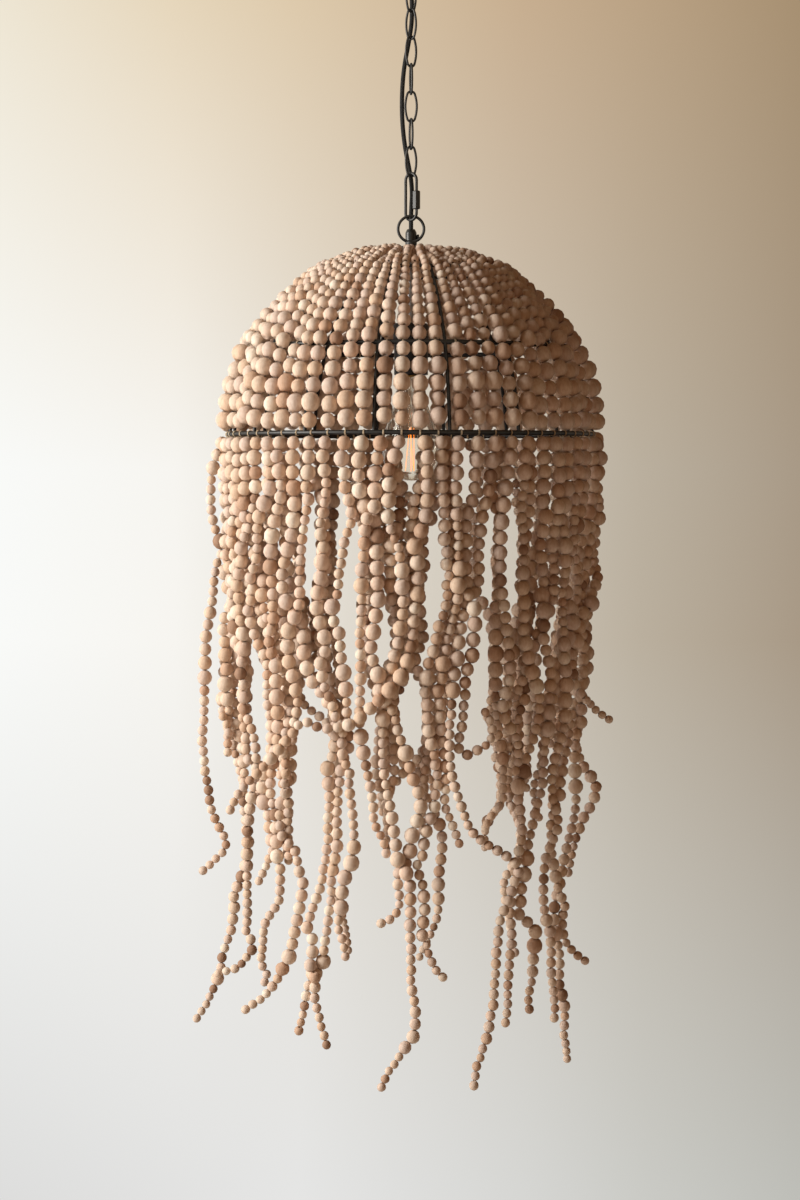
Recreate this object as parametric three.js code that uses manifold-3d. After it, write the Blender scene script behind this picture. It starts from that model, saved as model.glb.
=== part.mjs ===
// Beaded chandelier: wooden beads strung on an iron frame that hangs from a ceiling canopy by a chain.
// Millimetres, +Z up. The origin is the middle of the ceiling plate's upper face, on the ceiling.
import * as THREE from 'three';
import { mergeVertices } from 'three/addons/utils/BufferGeometryUtils.js';
import Module from 'manifold-3d';

const wasm = await Module();
wasm.setup();

const DEG = Math.PI / 180;

// Clearances
const gap = 0.3; // between two pieces that bear on each other
const cutOverrun = 1; // how far a cut runs past the face it opens
const mergeDistance = 1e-4; // points this close are one
const joinTolerance = 0.05; // slivers this thin along a joint are closed up

// Ceiling plate, its stud and its screws
const plateLength = 96;
const plateWidth = 24;
const plateThickness = 2.5;
const studRadius = 5;
const screwSpacing = 70;
const screwShankRadius = 2;
const screwHeadRadius = 4;
const screwHeadHeight = 2.4;

// Ceiling canopy
const canopyRadius = 62;
const canopyHeight = 30;
const canopyWall = 1.6;
const canopyShoulderRadius = 16;
const cordHoleReach = 24; // from the axis to the cord's hole
const cordHoleRadius = 3.6;

// Canopy loop
const collarRadius = 11;
const collarHeight = 12;
const collarThreadDepth = 8;
const loopInnerRadius = 10;
const loopWire = 3.6;
const loopBite = 2.4; // how far the ring is sunk into its collar

// Chain
const linkWire = 2.6;
const linkInnerLength = 31;
const linkInnerWidth = 10.2;
const linkEndRadius = 4.4; // of the wire's middle line round the link's ends
const linkSlack = 0.5; // between two links
const linkTurns = [-70, 35, -32, 28, 100, 5, 105, 25]; // each link's turn about the chain, from the top

// Quick link
const quickWire = 3.4;
const quickInnerLength = 48.7;
const quickInnerWidth = 12.6;
const quickTurn = -41;
const nutAcrossFlats = 7.6;
const nutLength = 20.5;
const nutRise = -4; // of the nut's middle from the link's middle
const quickSlot = 2; // the break in the wire under the nut

// Hanging ring and cord grip
const ringInnerRadius = 12.9;
const ringWire = 3.2;
const ringSlack = 1.3; // below the quick link, which crosses the ring at a slant
const bossRadius = 6.5;
const bossHeight = 6;
const ringBite = 2; // how far the ring is sunk into its boss
const gripReach = 13.4; // from the axis to the cord grip, behind the ring
const gripRadius = 6.3;
const gripHeight = 17;
const gripNeckRadius = 4.4;
const gripNeckHeight = 4;
const gripScrewRadius = 2.2;
const gripScrewHeadRadius = 3.3;
const gripScrewHeadHeight = 2.6;
const gripScrewDepth = 2;

// Lamp cord
const cordRadius = 2.5;

// Hub, tube and lamp holder
const hubRadius = 23;
const hubThickness = 3;
const crownThickness = 2.5;
const tubeRadius = 4.8;
const tubeBore = 3.2;
const tubeLength = 92;
const nutFlats = 14;
const hubNutHeight = 5;
const capRadius = 20;
const capHeight = 18;
const capWall = 2.2;
const shellRadius = 19;
const shellHeight = 46;
const shellSeat = 6; // how far the shell's top reaches into the cap
const baseDepth = 23; // how far the bulb's cap goes into the shell

// Bulb
const baseRadius = 13;
const baseHeight = 25;
const baseWall = 1;
const glassWall = 1;
const neckRadius = 12.4;
const glassRadius = 32;
const glassLength = 116;
const stemRadius = 3.4;
const stemLength = 56;
const flareThickness = 1.5; // of the stem's foot, which closes the neck
const cageRadius = 9.5;
const cageHeight = 50;
const filamentRadius = 0.7;
const filamentLoops = 4;

// Dome frame, heights above the lower hoop
const lowerHoopRadius = 205;
const midHoopRadius = 181;
const midHoopRise = 96;
const upperHoopRadius = 103;
const upperHoopRise = 182;
const crownRadius = 27;
const crownRise = 205;
const hoopWire = 5.5;
const ribWire = 4;
const ribCount = 16;
const capBulge = 3;
const upperBulge = 12;
const lowerBulge = 8;
const hoopSides = 5;
const ribSides = 4;

// Beads on the dome
const columnsPerBay = 4;
const beadStandoff = 4.2; // from the frame's curve to the middle of the beads
const capBead = 9.5;
const upperSmallBead = 10;
const upperLargeBead = 16.5;
const lowerBead = 17.5;
const ribGap = 0.6;
const threadThickness = 1; // of the strings where they pass over a hoop
const hoopTrim = 4; // from a hoop to the first bead
const capRows = 2; // of studs, each for one bead or more
const upperRows = 4;
const lowerRows = 5;
const slotShare = 0.28; // of a column's width, left open between two columns
const valleyShare = 0.3; // of a bead's radius, where two beads meet
const backShare = 0.7; // of a bead's radius, the back of the beads

// Skirt strings
const legCount = 8;
const stringsPerLeg = 8;
const skirtDrop = 700; // from the lower hoop to the lowest tip
const skirtOverhang = 4.5; // from the lower hoop's middle out to the strings
const skirtReach = lowerHoopRadius + skirtOverhang;
const legGapTurn = 6.15; // degrees from the last string of a leg to the first of the next
const stringPitch = (360 / legCount - legGapTurn) / (stringsPerLeg - 1); // degrees
const skirtGap = 0.75;
const topBeadLap = 0.25; // how far the top beads of a leg run into each other
const topBeadHalf = skirtReach * Math.sin((stringPitch / 2) * DEG) + topBeadLap;
const topBeadDrop = 20;
const largeBeadHalf = 6.6;
const smallBeadHalf = 5.2;
const gatherStart = 140; // below the hoop, where the strings begin to draw in
const gatherEnd = 390;
// How deep each string ends, as a share of the skirt's drop. Leg 0 faces the viewer, and the others
// follow anticlockwise seen from above, as the strings of a leg do.
const dropShares = [
  [0.81, 0.76, 0.65, 1, 0.5, 0.85, 0.7, 0.63],
  [0.99, 0.49, 0.9, 0.9, 0.56, 0.9, 0.6, 0.48],
  [0.45, 1, 0.85, 0.7, 0.46, 0.51, 0.59, 0.48],
  [0.6, 0.7, 0.59, 0.86, 0.65, 0.71, 0.6, 0.66],
  [0.59, 0.68, 0.89, 0.61, 0.7, 0.65, 0.67, 0.58],
  [0.59, 0.69, 0.62, 0.67, 0.88, 0.6, 0.71, 0.61],
  [0.46, 0.55, 0.5, 0.62, 0.7, 0.51, 0.94, 0.58],
  [0.5, 0.67, 0.87, 0.72, 0.87, 0.92, 0.94, 0.96],
];
// How far from the axis each string hangs once it has drawn in, and at its tip, as shares of the reach
// that it has at the hoop
const gatherShares = [
  [0.89, 0.92, 0.87, 0.89, 0.93, 0.88, 0.89, 0.88],
  [0.93, 0.94, 0.9, 0.86, 0.74, 0.9, 0.91, 0.87],
  [0.84, 0.91, 0.9, 0.95, 1, 0.93, 0.88, 0.83],
  [0.8, 0.86, 0.93, 0.72, 0.73, 0.93, 0.9, 0.78],
  [0.84, 0.9, 0.95, 0.76, 0.75, 0.97, 0.91, 0.83],
  [0.81, 0.89, 0.93, 0.74, 0.75, 0.94, 0.89, 0.8],
  [0.91, 0.96, 1.05, 0.82, 1.12, 1.04, 0.89, 0.89],
  [0.83, 0.89, 0.91, 0.86, 0.91, 0.89, 0.89, 0.91],
];
const tipShares = [
  [0.89, 0.89, 0.89, 0.89, 0.93, 0.89, 0.89, 0.89],
  [0.94, 0.94, 0.89, 0.89, 0.72, 0.89, 0.91, 0.87],
  [0.84, 0.89, 0.9, 0.9, 1.03, 0.93, 0.87, 0.83],
  [0.8, 0.89, 0.93, 0.79, 0.72, 0.9, 0.88, 0.75],
  [0.84, 0.86, 0.86, 0.76, 0.75, 0.95, 0.93, 0.82],
  [0.82, 0.91, 0.93, 0.77, 0.82, 0.96, 0.87, 0.8],
  [0.91, 0.94, 1.05, 0.81, 1.08, 1.04, 1.14, 0.88],
  [0.82, 0.89, 0.98, 0.89, 0.89, 0.89, 0.91, 0.89],
];
// Where each string wanders at even drops down to its tip: degrees round the hoop from the middle of its leg
const stringTurns = [
  [
    [-22, -20, -16, -14, -22, -22],
    [-17, -6, 4, 2, -9],
    [-10, -12, -14, -14, -8],
    [-1, -10, -9, -5, 0, 1, -10],
    [4, 4, 4, 4],
    [7, 10, 8, 4, 4, 11],
    [15, 11, 10, 8, 7],
    [17, 14, 9, 10, 15],
  ],
  [
    [-23, -25, -29, -26, -14, -18, -25],
    [-23, -28, -29],
    [-8, -11, -15, -18, -14, -10, -11],
    [0, -2, -11, -9, -3, 0, -2],
    [5, 0, 0, 3],
    [8, 11, 9, 6, 4, 9, 12],
    [13, 13, 7, 6],
    [19, 16, 10],
  ],
  [
    [-19, -22, -5],
    [-15, -20, -20, -22, -28, -28, -22],
    [-9, -14, -24, -33, -32, -4],
    [2, 0, -10, 0, -20],
    [-2, -24, 0],
    [7, 7, 4, 2],
    [11, 12, 10, 4],
    [18, 16, 12],
  ],
  [
    [-16, -22, -10, 4],
    [-12, -17, -8, -2, 0],
    [-8, -6, -2, -1],
    [0, 1, -6, -5, -2, -4],
    [3, 5, 4, 5, 9],
    [8, 5, 7, 10, 10],
    [12, 11, 11, 18],
    [17, 19, 11, 12, 14],
  ],
  [
    [-17, -16, -13, -12],
    [-11, -12, -10, -5, -7],
    [-8, -8, 1, -3, -7, -13, -3],
    [-3, 2, 0, -12],
    [4, 4, 5, 6, 5],
    [9, 5, 6, 7, 9],
    [12, 11, 10, 12, 6],
    [18, 16, 12, 3],
  ],
  [
    [-18, -14, -17, -11],
    [-12, -11, -13, -11, -7],
    [-9, -7, -3, -6],
    [-6, -3, 1, -5, -5],
    [1, 4, 0, 0, -8, -17],
    [9, 4, 0, 4],
    [16, 10, 5, 5, 6],
    [20, 17, 9, -1],
  ],
  [
    [-19, -11, 1],
    [-13, -9, -5, 5],
    [-9, -7, -2, 5],
    [-5, -4, 6, 12],
    [-2, 0, 0, 0, 0],
    [10, 8, 5, 8],
    [16, 12, 4, 10, 2, -3, 0],
    [19, 16, 13, 15],
  ],
  [
    [-20, -16, -5, 2],
    [-15, -7, 2, 1, -1],
    [-10, -22, -23, -24, -36, -42],
    [-4, -11, -3, -5, -21],
    [-1, -1, 1, -8, -7, -15],
    [10, 16, 17, 18, 18, 14, 5],
    [16, 8, 2, -8, 5, -1, -42],
    [18, 20, 20, 22, 13, 11, 16],
  ],
];

// Levels, worked out from the ceiling down
const canopyFace = -canopyHeight;
const collarTop = canopyFace - gap;
const collarFace = collarTop - collarHeight;
const loopMiddle = collarFace + loopBite - loopWire - loopInnerRadius;
const linkPitch = linkInnerLength - linkSlack;
const firstLink = loopMiddle - loopInnerRadius + linkSlack - linkInnerLength / 2;
const lastLink = firstLink - linkPitch * (linkTurns.length - 1);
const quickMiddle = lastLink - linkInnerLength / 2 + linkSlack - quickInnerLength / 2;
const ringMiddle = quickMiddle - quickInnerLength / 2 + ringSlack - ringInnerRadius;
const bossTop = ringMiddle - ringInnerRadius - ringWire + ringBite;
const hubTop = bossTop - bossHeight - gap;
const crownTop = hubTop - hubThickness - gap;
const hoopLevel = crownTop - crownThickness / 2 - crownRise;
const tubeTop = bossTop - cutOverrun - gap;
const capTop = tubeTop - tubeLength + capWall;
const shellTop = capTop - capHeight + shellSeat;
const shellFace = shellTop - shellHeight;
const baseTop = shellFace + baseDepth;
const baseFace = baseTop - baseHeight;
const glassTop = baseFace - gap;

// The lamp cord's route, from the lamp holder up through the grip and the canopy's hole
const cordRoute = [
  [0, 13.4, -484],
  [0, 13.4, -430],
  [0, 13.4, -374],
  [0, 13.4, -363],
  [0, 13, -352],
  [0.5, 12, -340],
  [1, 11.2, -328],
  [0.5, 10.6, -316],
  [-1, 10.2, -305],
  [-3.5, 9.6, -292],
  [-6.2, 8.8, -278],
  [-8.4, 7.6, -262],
  [-9.8, 6.4, -245],
  [-10.2, 5.8, -228],
  [-9.8, 5.8, -211],
  [-8.6, 6.2, -195],
  [-6.6, 7.6, -180],
  [-4, 9.4, -166],
  [-1.6, 10.6, -152],
  [0.4, 11, -138],
  [1, 11.2, -122],
  [0.6, 11.8, -106],
  [0, 13.2, -91],
  [0, 16, -76],
  [0, 19.4, -62],
  [0, 22.4, -49],
  [0, 23.8, -40],
  [0, 24, -32],
  [0, 24, -22],
];

// Materials
const iron = { color: 0x1d1b1a, roughness: 0.5, metalness: 0.6 };
const blackPlastic = { color: 0x161616, roughness: 0.45, metalness: 0 };
const brass = { color: 0xb58f4a, roughness: 0.35, metalness: 1 };
const zinc = { color: 0xb9bbbd, roughness: 0.35, metalness: 1 };
const clearGlass = { color: 0xf3ead8, roughness: 0.05, metalness: 0, transparent: true, opacity: 0.35 };
const wood = { color: 0xdcbb98, roughness: 0.85, metalness: 0 };
const tungsten = { color: 0xffb45a, roughness: 0.4, metalness: 0.3 };

const group = new THREE.Group();

function addMesh(name, geometry, look) {
  const mesh = new THREE.Mesh(geometry, new THREE.MeshStandardMaterial(look));
  mesh.name = name;
  group.add(mesh);
  return mesh;
}

// Solids: a closed geometry becomes a manifold, and back
function toSolid(geometry) {
  const bare = geometry.clone();
  bare.deleteAttribute('normal');
  bare.deleteAttribute('uv');
  const merged = mergeVertices(bare, mergeDistance);
  const vertProperties = new Float32Array(merged.attributes.position.array);
  const triVerts = new Uint32Array(merged.index.array);
  return new wasm.Manifold(new wasm.Mesh({ numProp: 3, vertProperties, triVerts }));
}

function toGeometry(solid) {
  const mesh = solid.getMesh();
  const geometry = new THREE.BufferGeometry();
  geometry.setAttribute('position', new THREE.BufferAttribute(new Float32Array(mesh.vertProperties), 3));
  geometry.setIndex(new THREE.BufferAttribute(new Uint32Array(mesh.triVerts), 1));
  return geometry;
}

function joined(geometries) {
  const whole = geometries.map(toSolid).reduce((sum, piece) => sum.add(piece));
  return toGeometry(whole.asOriginal().simplify(joinTolerance));
}

function cut(geometry, cutters) {
  return toGeometry(cutters.map(toSolid).reduce((whole, piece) => whole.subtract(piece), toSolid(geometry)));
}

// Upright cylinder from a base level up, on a line at x, y
function rod(radius, low, high, sides = 16, x = 0, y = 0) {
  const geometry = new THREE.CylinderGeometry(radius, radius, high - low, sides);
  geometry.rotateX(Math.PI / 2);
  geometry.translate(x, y, (low + high) / 2);
  return geometry;
}

// Body of revolution about Z from a closed outline of [radius, level] points, listed anticlockwise
function turned(outline, sides) {
  const points = outline.map(([radius, level]) => new THREE.Vector2(radius, level));
  points.push(points[0].clone());
  const geometry = new THREE.LatheGeometry(points, sides);
  geometry.rotateX(Math.PI / 2);
  return geometry;
}

// Body of revolution whose outline runs from the axis back to the axis, listed anticlockwise
function spun(outline) {
  const points = outline.map(([radius, level]) => new THREE.Vector2(radius, level));
  const geometry = new THREE.LatheGeometry(points, 16);
  geometry.rotateX(Math.PI / 2);
  return geometry;
}

// Closed body through rings of points. Open bodies are capped, and loops join their ends.
function lofted(rings, isLoop = false) {
  const count = rings[0].length;
  const positions = rings.flat().flatMap((point) => [point.x, point.y, point.z]);
  const index = [];
  const last = isLoop ? rings.length : rings.length - 1;
  for (let ring = 0; ring < last; ring++) {
    const next = (ring + 1) % rings.length;
    for (let corner = 0; corner < count; corner++) {
      const beside = (corner + 1) % count;
      const a = ring * count + corner;
      const b = ring * count + beside;
      const c = next * count + beside;
      const d = next * count + corner;
      index.push(a, b, c, a, c, d);
    }
  }
  if (!isLoop) {
    const end = (rings.length - 1) * count;
    for (let corner = 1; corner < count - 1; corner++) {
      index.push(0, corner + 1, corner);
      index.push(end, end + corner, end + corner + 1);
    }
  }
  const geometry = new THREE.BufferGeometry();
  geometry.setAttribute('position', new THREE.Float32BufferAttribute(positions, 3));
  geometry.setIndex(index);
  return geometry;
}

// Wire bent along a flat loop in the XZ plane: middle points and a round section
function wireRing(points, wire, sides, isLoop) {
  const rings = points.map((point, i) => {
    const before = points[isLoop ? (i + points.length - 1) % points.length : Math.max(i - 1, 0)];
    const after = points[isLoop ? (i + 1) % points.length : Math.min(i + 1, points.length - 1)];
    const along = after.clone().sub(before).normalize();
    const across = new THREE.Vector3(along.z, 0, -along.x);
    const ring = [];
    for (let side = 0; side < sides; side++) {
      const turn = (side / sides) * 2 * Math.PI;
      const out = across.clone().multiplyScalar((Math.cos(turn) * wire) / 2);
      ring.push(point.clone().add(out).add(new THREE.Vector3(0, (Math.sin(turn) * wire) / 2, 0)));
    }
    return ring;
  });
  return lofted(rings, isLoop);
}

// An oval link of four arcs that stands in the XZ plane about the origin
function ovalPoints(innerLength, innerWidth, wire) {
  const rise = (innerLength + wire) / 2 - linkEndRadius;
  const half = (innerWidth + wire) / 2;
  const excess = half - linkEndRadius;
  const sideRadius = (rise * rise + half * half - linkEndRadius * linkEndRadius) / (2 * excess);
  const start = Math.atan2(rise, sideRadius - half);
  const points = [];
  const endSteps = 6;
  for (const end of [1, -1]) {
    for (let step = 0; step <= endSteps; step++) {
      const turn = start + (step / endSteps) * (Math.PI - 2 * start);
      const x = end * linkEndRadius * Math.cos(turn);
      const z = end * (rise + linkEndRadius * Math.sin(turn));
      points.push(new THREE.Vector3(x, 0, z));
    }
    points.push(new THREE.Vector3(-end * half, 0, 0));
  }
  return points.reverse();
}

// A link with straight sides and round ends, open from the slot's top round to its foot
function quickLinkPoints() {
  const radius = (quickInnerWidth + quickWire) / 2;
  const straight = quickInnerLength / 2 - quickInnerWidth / 2;
  const points = [new THREE.Vector3(radius, 0, nutRise - quickSlot / 2)];
  const bendSteps = 6;
  for (let step = 0; step <= bendSteps; step++) {
    const turn = (step / bendSteps) * Math.PI;
    points.push(new THREE.Vector3(radius * Math.cos(turn), 0, -straight - radius * Math.sin(turn)));
  }
  for (let step = 0; step <= bendSteps; step++) {
    const turn = (step / bendSteps) * Math.PI;
    points.push(new THREE.Vector3(-radius * Math.cos(turn), 0, straight + radius * Math.sin(turn)));
  }
  points.push(new THREE.Vector3(radius, 0, nutRise + quickSlot / 2));
  return points.reverse();
}

// Upright ring in the XZ plane
function uprightTorus(innerRadius, wire, middle) {
  const geometry = new THREE.TorusGeometry(innerRadius + wire / 2, wire / 2, 6, 20);
  geometry.rotateX(Math.PI / 2);
  geometry.translate(0, 0, middle);
  return geometry;
}

// Straight prism with a hexagonal section, upright
function hexagon(acrossFlats, low, high, x = 0, y = 0) {
  return rod(acrossFlats / 2 / Math.cos(30 * DEG), low, high, 6, x, y);
}

// Ceiling fitting
function ceilingPlate() {
  const plate = new THREE.BoxGeometry(plateLength, plateWidth, plateThickness);
  plate.translate(0, 0, -plateThickness / 2);
  const stud = rod(studRadius, collarTop - collarThreadDepth + gap, -plateThickness / 2, 16);
  const holes = [-1, 1].map((side) =>
    rod(screwShankRadius + gap, -plateThickness - cutOverrun, cutOverrun, 12, (side * screwSpacing) / 2),
  );
  return cut(joined([plate, stud]), holes);
}

function ceilingScrew(side) {
  const x = (side * screwSpacing) / 2;
  const headTop = -plateThickness - gap;
  const shank = rod(screwShankRadius, headTop - screwHeadHeight / 2, -gap, 8, x);
  const head = rod(screwHeadRadius, headTop - screwHeadHeight, headTop, 12, x);
  return joined([head, shank]);
}

function ceilingCanopy() {
  const inner = canopyRadius - canopyWall;
  const hole = studRadius + gap;
  const shoulder = canopyRadius - canopyShoulderRadius;
  const rim = -gap;
  const outline = [
    [hole, canopyFace],
    [shoulder, canopyFace],
    [canopyRadius - canopyShoulderRadius * 0.3, canopyFace + canopyShoulderRadius * 0.3],
    [canopyRadius, canopyFace + canopyShoulderRadius],
    [canopyRadius, rim],
    [inner, rim],
    [inner, canopyFace + canopyShoulderRadius],
    [inner - canopyShoulderRadius * 0.3, canopyFace + canopyShoulderRadius * 0.3 + canopyWall],
    [shoulder, canopyFace + canopyWall],
    [hole, canopyFace + canopyWall],
  ];
  const top = canopyFace + canopyWall + cutOverrun;
  const cordHole = rod(cordHoleRadius, canopyFace - cutOverrun, top, 12, 0, cordHoleReach);
  return cut(turned(outline, 24), [cordHole]);
}

function canopyLoop() {
  const collar = rod(collarRadius, collarFace, collarTop, 16);
  const ring = uprightTorus(loopInnerRadius, loopWire, loopMiddle);
  const socket = rod(studRadius + gap, collarTop - collarThreadDepth, collarTop + cutOverrun, 16);
  return cut(joined([collar, ring]), [socket]);
}

// Chain
function chainLink(middle, turn) {
  const geometry = wireRing(ovalPoints(linkInnerLength, linkInnerWidth, linkWire), linkWire, 5, true);
  geometry.rotateZ(turn * DEG);
  geometry.translate(0, 0, middle);
  return geometry;
}

function quickLink() {
  const geometry = wireRing(quickLinkPoints(), quickWire, 6, false);
  geometry.rotateZ(quickTurn * DEG);
  geometry.translate(0, 0, quickMiddle);
  return geometry;
}

function quickLinkNut() {
  const x = (quickInnerWidth + quickWire) / 2;
  const low = nutRise - nutLength / 2;
  const high = nutRise + nutLength / 2;
  const body = hexagon(nutAcrossFlats, low, high, x);
  const bore = rod(quickWire / 2 + gap, low - cutOverrun, high + cutOverrun, 12, x);
  const geometry = cut(body, [bore]);
  geometry.rotateZ(quickTurn * DEG);
  geometry.translate(0, 0, quickMiddle);
  return geometry;
}

// Hanging ring on its boss, and the cord's grip behind it
function hangingRing() {
  const ring = uprightTorus(ringInnerRadius, ringWire, ringMiddle);
  const boss = rod(bossRadius, bossTop - bossHeight, bossTop, 16);
  const socket = rod(tubeRadius + gap, bossTop - bossHeight - cutOverrun, bossTop - cutOverrun, 16);
  return cut(joined([ring, boss]), [socket]);
}

function cordGrip() {
  const foot = hubTop + gap;
  const shoulder = foot + gripHeight;
  const body = rod(gripRadius, foot, shoulder, 16, 0, gripReach);
  const neck = new THREE.CylinderGeometry(gripNeckRadius, gripRadius, gripNeckHeight, 16);
  neck.rotateX(Math.PI / 2);
  neck.translate(0, gripReach, shoulder + gripNeckHeight / 2);
  const neckTop = shoulder + gripNeckHeight;
  const bore = rod(cordRadius + gap, foot - cutOverrun, neckTop + cutOverrun, 8, 0, gripReach);
  const screwHole = gripScrewShank(gripScrewRadius + gap, gripScrewDepth + gap);
  return cut(joined([body, neck]), [bore, screwHole]);
}

// The clamp screw lies along X in the grip's side
function gripScrewShank(radius, depth) {
  const length = depth + gap;
  const shank = new THREE.CylinderGeometry(radius, radius, length, 8);
  shank.rotateZ(Math.PI / 2);
  const level = hubTop + gap + gripHeight * 0.7;
  shank.translate(gripRadius + gap - length / 2, gripReach, level);
  return shank;
}

function gripScrew() {
  const shank = gripScrewShank(gripScrewRadius, gripScrewDepth);
  const head = new THREE.CylinderGeometry(gripScrewHeadRadius, gripScrewHeadRadius, gripScrewHeadHeight, 12);
  head.rotateZ(Math.PI / 2);
  const level = hubTop + gap + gripHeight * 0.7;
  head.translate(gripRadius + gap + gripScrewHeadHeight / 2, gripReach, level);
  return joined([head, shank]);
}

// Tube along a curve
function tube(points, radius, sides, steps) {
  const curve = new THREE.CatmullRomCurve3(points.map(([x, y, z]) => new THREE.Vector3(x, y, z)));
  const section = new THREE.Shape();
  for (let side = 0; side < sides; side++) {
    const turn = (side / sides) * 2 * Math.PI;
    const x = radius * Math.cos(turn);
    const y = radius * Math.sin(turn);
    if (side === 0) section.moveTo(x, y);
    else section.lineTo(x, y);
  }
  section.closePath();
  return new THREE.ExtrudeGeometry(section, { steps, extrudePath: curve, curveSegments: 1 });
}

// Hub, tube, nut and lamp holder
function topHub() {
  const disc = rod(hubRadius, hubTop - hubThickness, hubTop, 24);
  const low = hubTop - hubThickness - cutOverrun;
  const middle = rod(tubeRadius + gap, low, hubTop + cutOverrun, 16);
  const cordHole = rod(cordRadius + gap, low, hubTop + cutOverrun, 8, 0, gripReach);
  return cut(disc, [middle, cordHole]);
}

function threadedTube() {
  const outer = rod(tubeRadius, tubeTop - tubeLength, tubeTop, 16);
  const bore = rod(tubeBore, tubeTop - tubeLength - cutOverrun, tubeTop + cutOverrun, 8);
  return cut(outer, [bore]);
}

function hexNut() {
  const top = crownTop - crownThickness - gap;
  const body = hexagon(nutFlats, top - hubNutHeight, top);
  const bore = rod(tubeRadius + gap, top - hubNutHeight - cutOverrun, top + cutOverrun, 16);
  return cut(body, [bore]);
}

function socketCap() {
  const face = capTop - capHeight;
  const inner = capRadius - capWall;
  const outline = [
    [tubeRadius + gap, capTop - capWall],
    [inner - capWall, capTop - capWall],
    [inner, capTop - capWall - capWall],
    [inner, face],
    [capRadius, face],
    [capRadius, capTop - capWall],
    [capRadius - capWall, capTop],
    [tubeRadius + gap, capTop],
  ];
  const cordHole = rod(cordRadius + gap, capTop - capWall - cutOverrun, capTop + cutOverrun, 8, 0, gripReach);
  return cut(turned(outline, 16), [cordHole]);
}

function socketShell() {
  const bore = baseRadius + gap;
  const seat = capRadius - capWall - gap;
  const floor = baseTop + gap;
  const shoulder = capTop - capHeight - gap;
  return spun([
    [0, floor],
    [bore, floor],
    [bore, shellFace],
    [shellRadius, shellFace],
    [shellRadius, shoulder],
    [seat, shoulder],
    [seat, shellTop],
    [0, shellTop],
  ]);
}

// Bulb
function bulbBase() {
  const lip = baseWall * 2;
  const shoulder = baseTop - baseRadius * 0.5;
  return spun([
    [0, baseTop - lip - baseWall],
    [baseRadius * 0.6, baseTop - lip - baseWall],
    [baseRadius - baseWall, shoulder - baseWall],
    [baseRadius - baseWall, baseFace],
    [baseRadius, baseFace],
    [baseRadius, shoulder],
    [baseRadius * 0.6, baseTop - lip],
    [baseRadius * 0.35, baseTop],
    [0, baseTop],
  ]);
}

// The pear outline: shares of the glass radius at shares of its length from the neck
const glassLengthShares = [0, 0.1, 0.25, 0.45, 0.65, 0.8, 0.91, 0.98, 1];
const glassRadiusShares = [0, 0.02, 0.28, 0.74, 1, 0.96, 0.7, 0.25, -1];

function glassPoint(i, wall) {
  const radius = neckRadius + (glassRadius - neckRadius) * glassRadiusShares[i];
  const level = glassTop - glassLength * glassLengthShares[i];
  return [radius - wall, level];
}

function bulbGlass() {
  const last = glassLengthShares.length - 1;
  const outer = glassLengthShares.slice(0, last).map((_, i) => glassPoint(i, 0));
  const inner = glassLengthShares.slice(0, last).map((_, i) => glassPoint(i, glassWall));
  const foot = glassTop - glassLength;
  const outline = [...inner, [0, foot + glassWall], [0, foot], ...outer.reverse()];
  const profile = outline.map(([radius, level]) => new THREE.Vector2(radius, level));
  profile.push(profile[0].clone());
  const geometry = new THREE.LatheGeometry(profile, 16);
  geometry.rotateX(Math.PI / 2);
  return geometry;
}

// Glass stem with a cage of filament that runs up and down round it
function bulbFilament() {
  const stem = rod(stemRadius, glassTop - stemLength, baseFace + baseHeight / 2, 8);
  const flare = rod(neckRadius - glassWall - gap, glassTop - flareThickness, glassTop, 12);
  const mast = rod(filamentRadius, glassTop - stemLength - cageHeight, glassTop - stemLength + cutOverrun, 6);
  const cageTop = glassTop - stemLength;
  const cageFoot = cageTop - cageHeight + gap;
  const points = [];
  const turns = filamentLoops * 2;
  for (let turn = 0; turn <= turns; turn++) {
    const angle = (turn / (turns + 1)) * 2 * Math.PI;
    const level = turn % 2 ? cageFoot : cageTop;
    points.push([cageRadius * Math.cos(angle), cageRadius * Math.sin(angle), level]);
  }
  points.unshift([0, 0, cageTop + cutOverrun]);
  points.push([0, 0, cageTop - cageHeight / 2]);
  const wires = tube(points, filamentRadius, 4, points.length * 2);
  return joined([stem, flare, mast, wires]);
}

// Dome outline: three bulging spans from the crown to the lower hoop
const spanEnds = [
  new THREE.Vector2(crownRadius, crownRise),
  new THREE.Vector2(upperHoopRadius, upperHoopRise),
  new THREE.Vector2(midHoopRadius, midHoopRise),
  new THREE.Vector2(lowerHoopRadius, 0),
];
const bulges = [capBulge, upperBulge, lowerBulge];

function spanCurve(span) {
  const from = spanEnds[span];
  const to = spanEnds[span + 1];
  const along = to.clone().sub(from).normalize();
  const out = new THREE.Vector2(-along.y, along.x).multiplyScalar(2 * bulges[span]);
  const handle = from.clone().add(to).multiplyScalar(0.5).add(out);
  return new THREE.QuadraticBezierCurve(from, handle, to);
}

const spans = bulges.map((_, span) => spanCurve(span));

// Outward normal of the dome's outline, shared by both spans at a hoop
function outward(span, share) {
  const tangent = spans[span].getTangent(share);
  if (share === 0 && span > 0) tangent.add(spans[span - 1].getTangent(1));
  if (share === 1 && span < spans.length - 1) tangent.add(spans[span + 1].getTangent(0));
  tangent.normalize();
  return new THREE.Vector2(-tangent.y, tangent.x);
}

// Direction in plan at an angle from the side that faces the viewer
function direction(angle) {
  return new THREE.Vector3(Math.sin(angle * DEG), -Math.cos(angle * DEG), 0);
}

function hoop(radius, rise, wire) {
  const geometry = new THREE.TorusGeometry(radius, wire / 2, hoopSides, 2 * ribCount);
  geometry.rotateZ((180 / ribCount) * DEG);
  geometry.translate(0, 0, hoopLevel + rise);
  return geometry;
}

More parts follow.
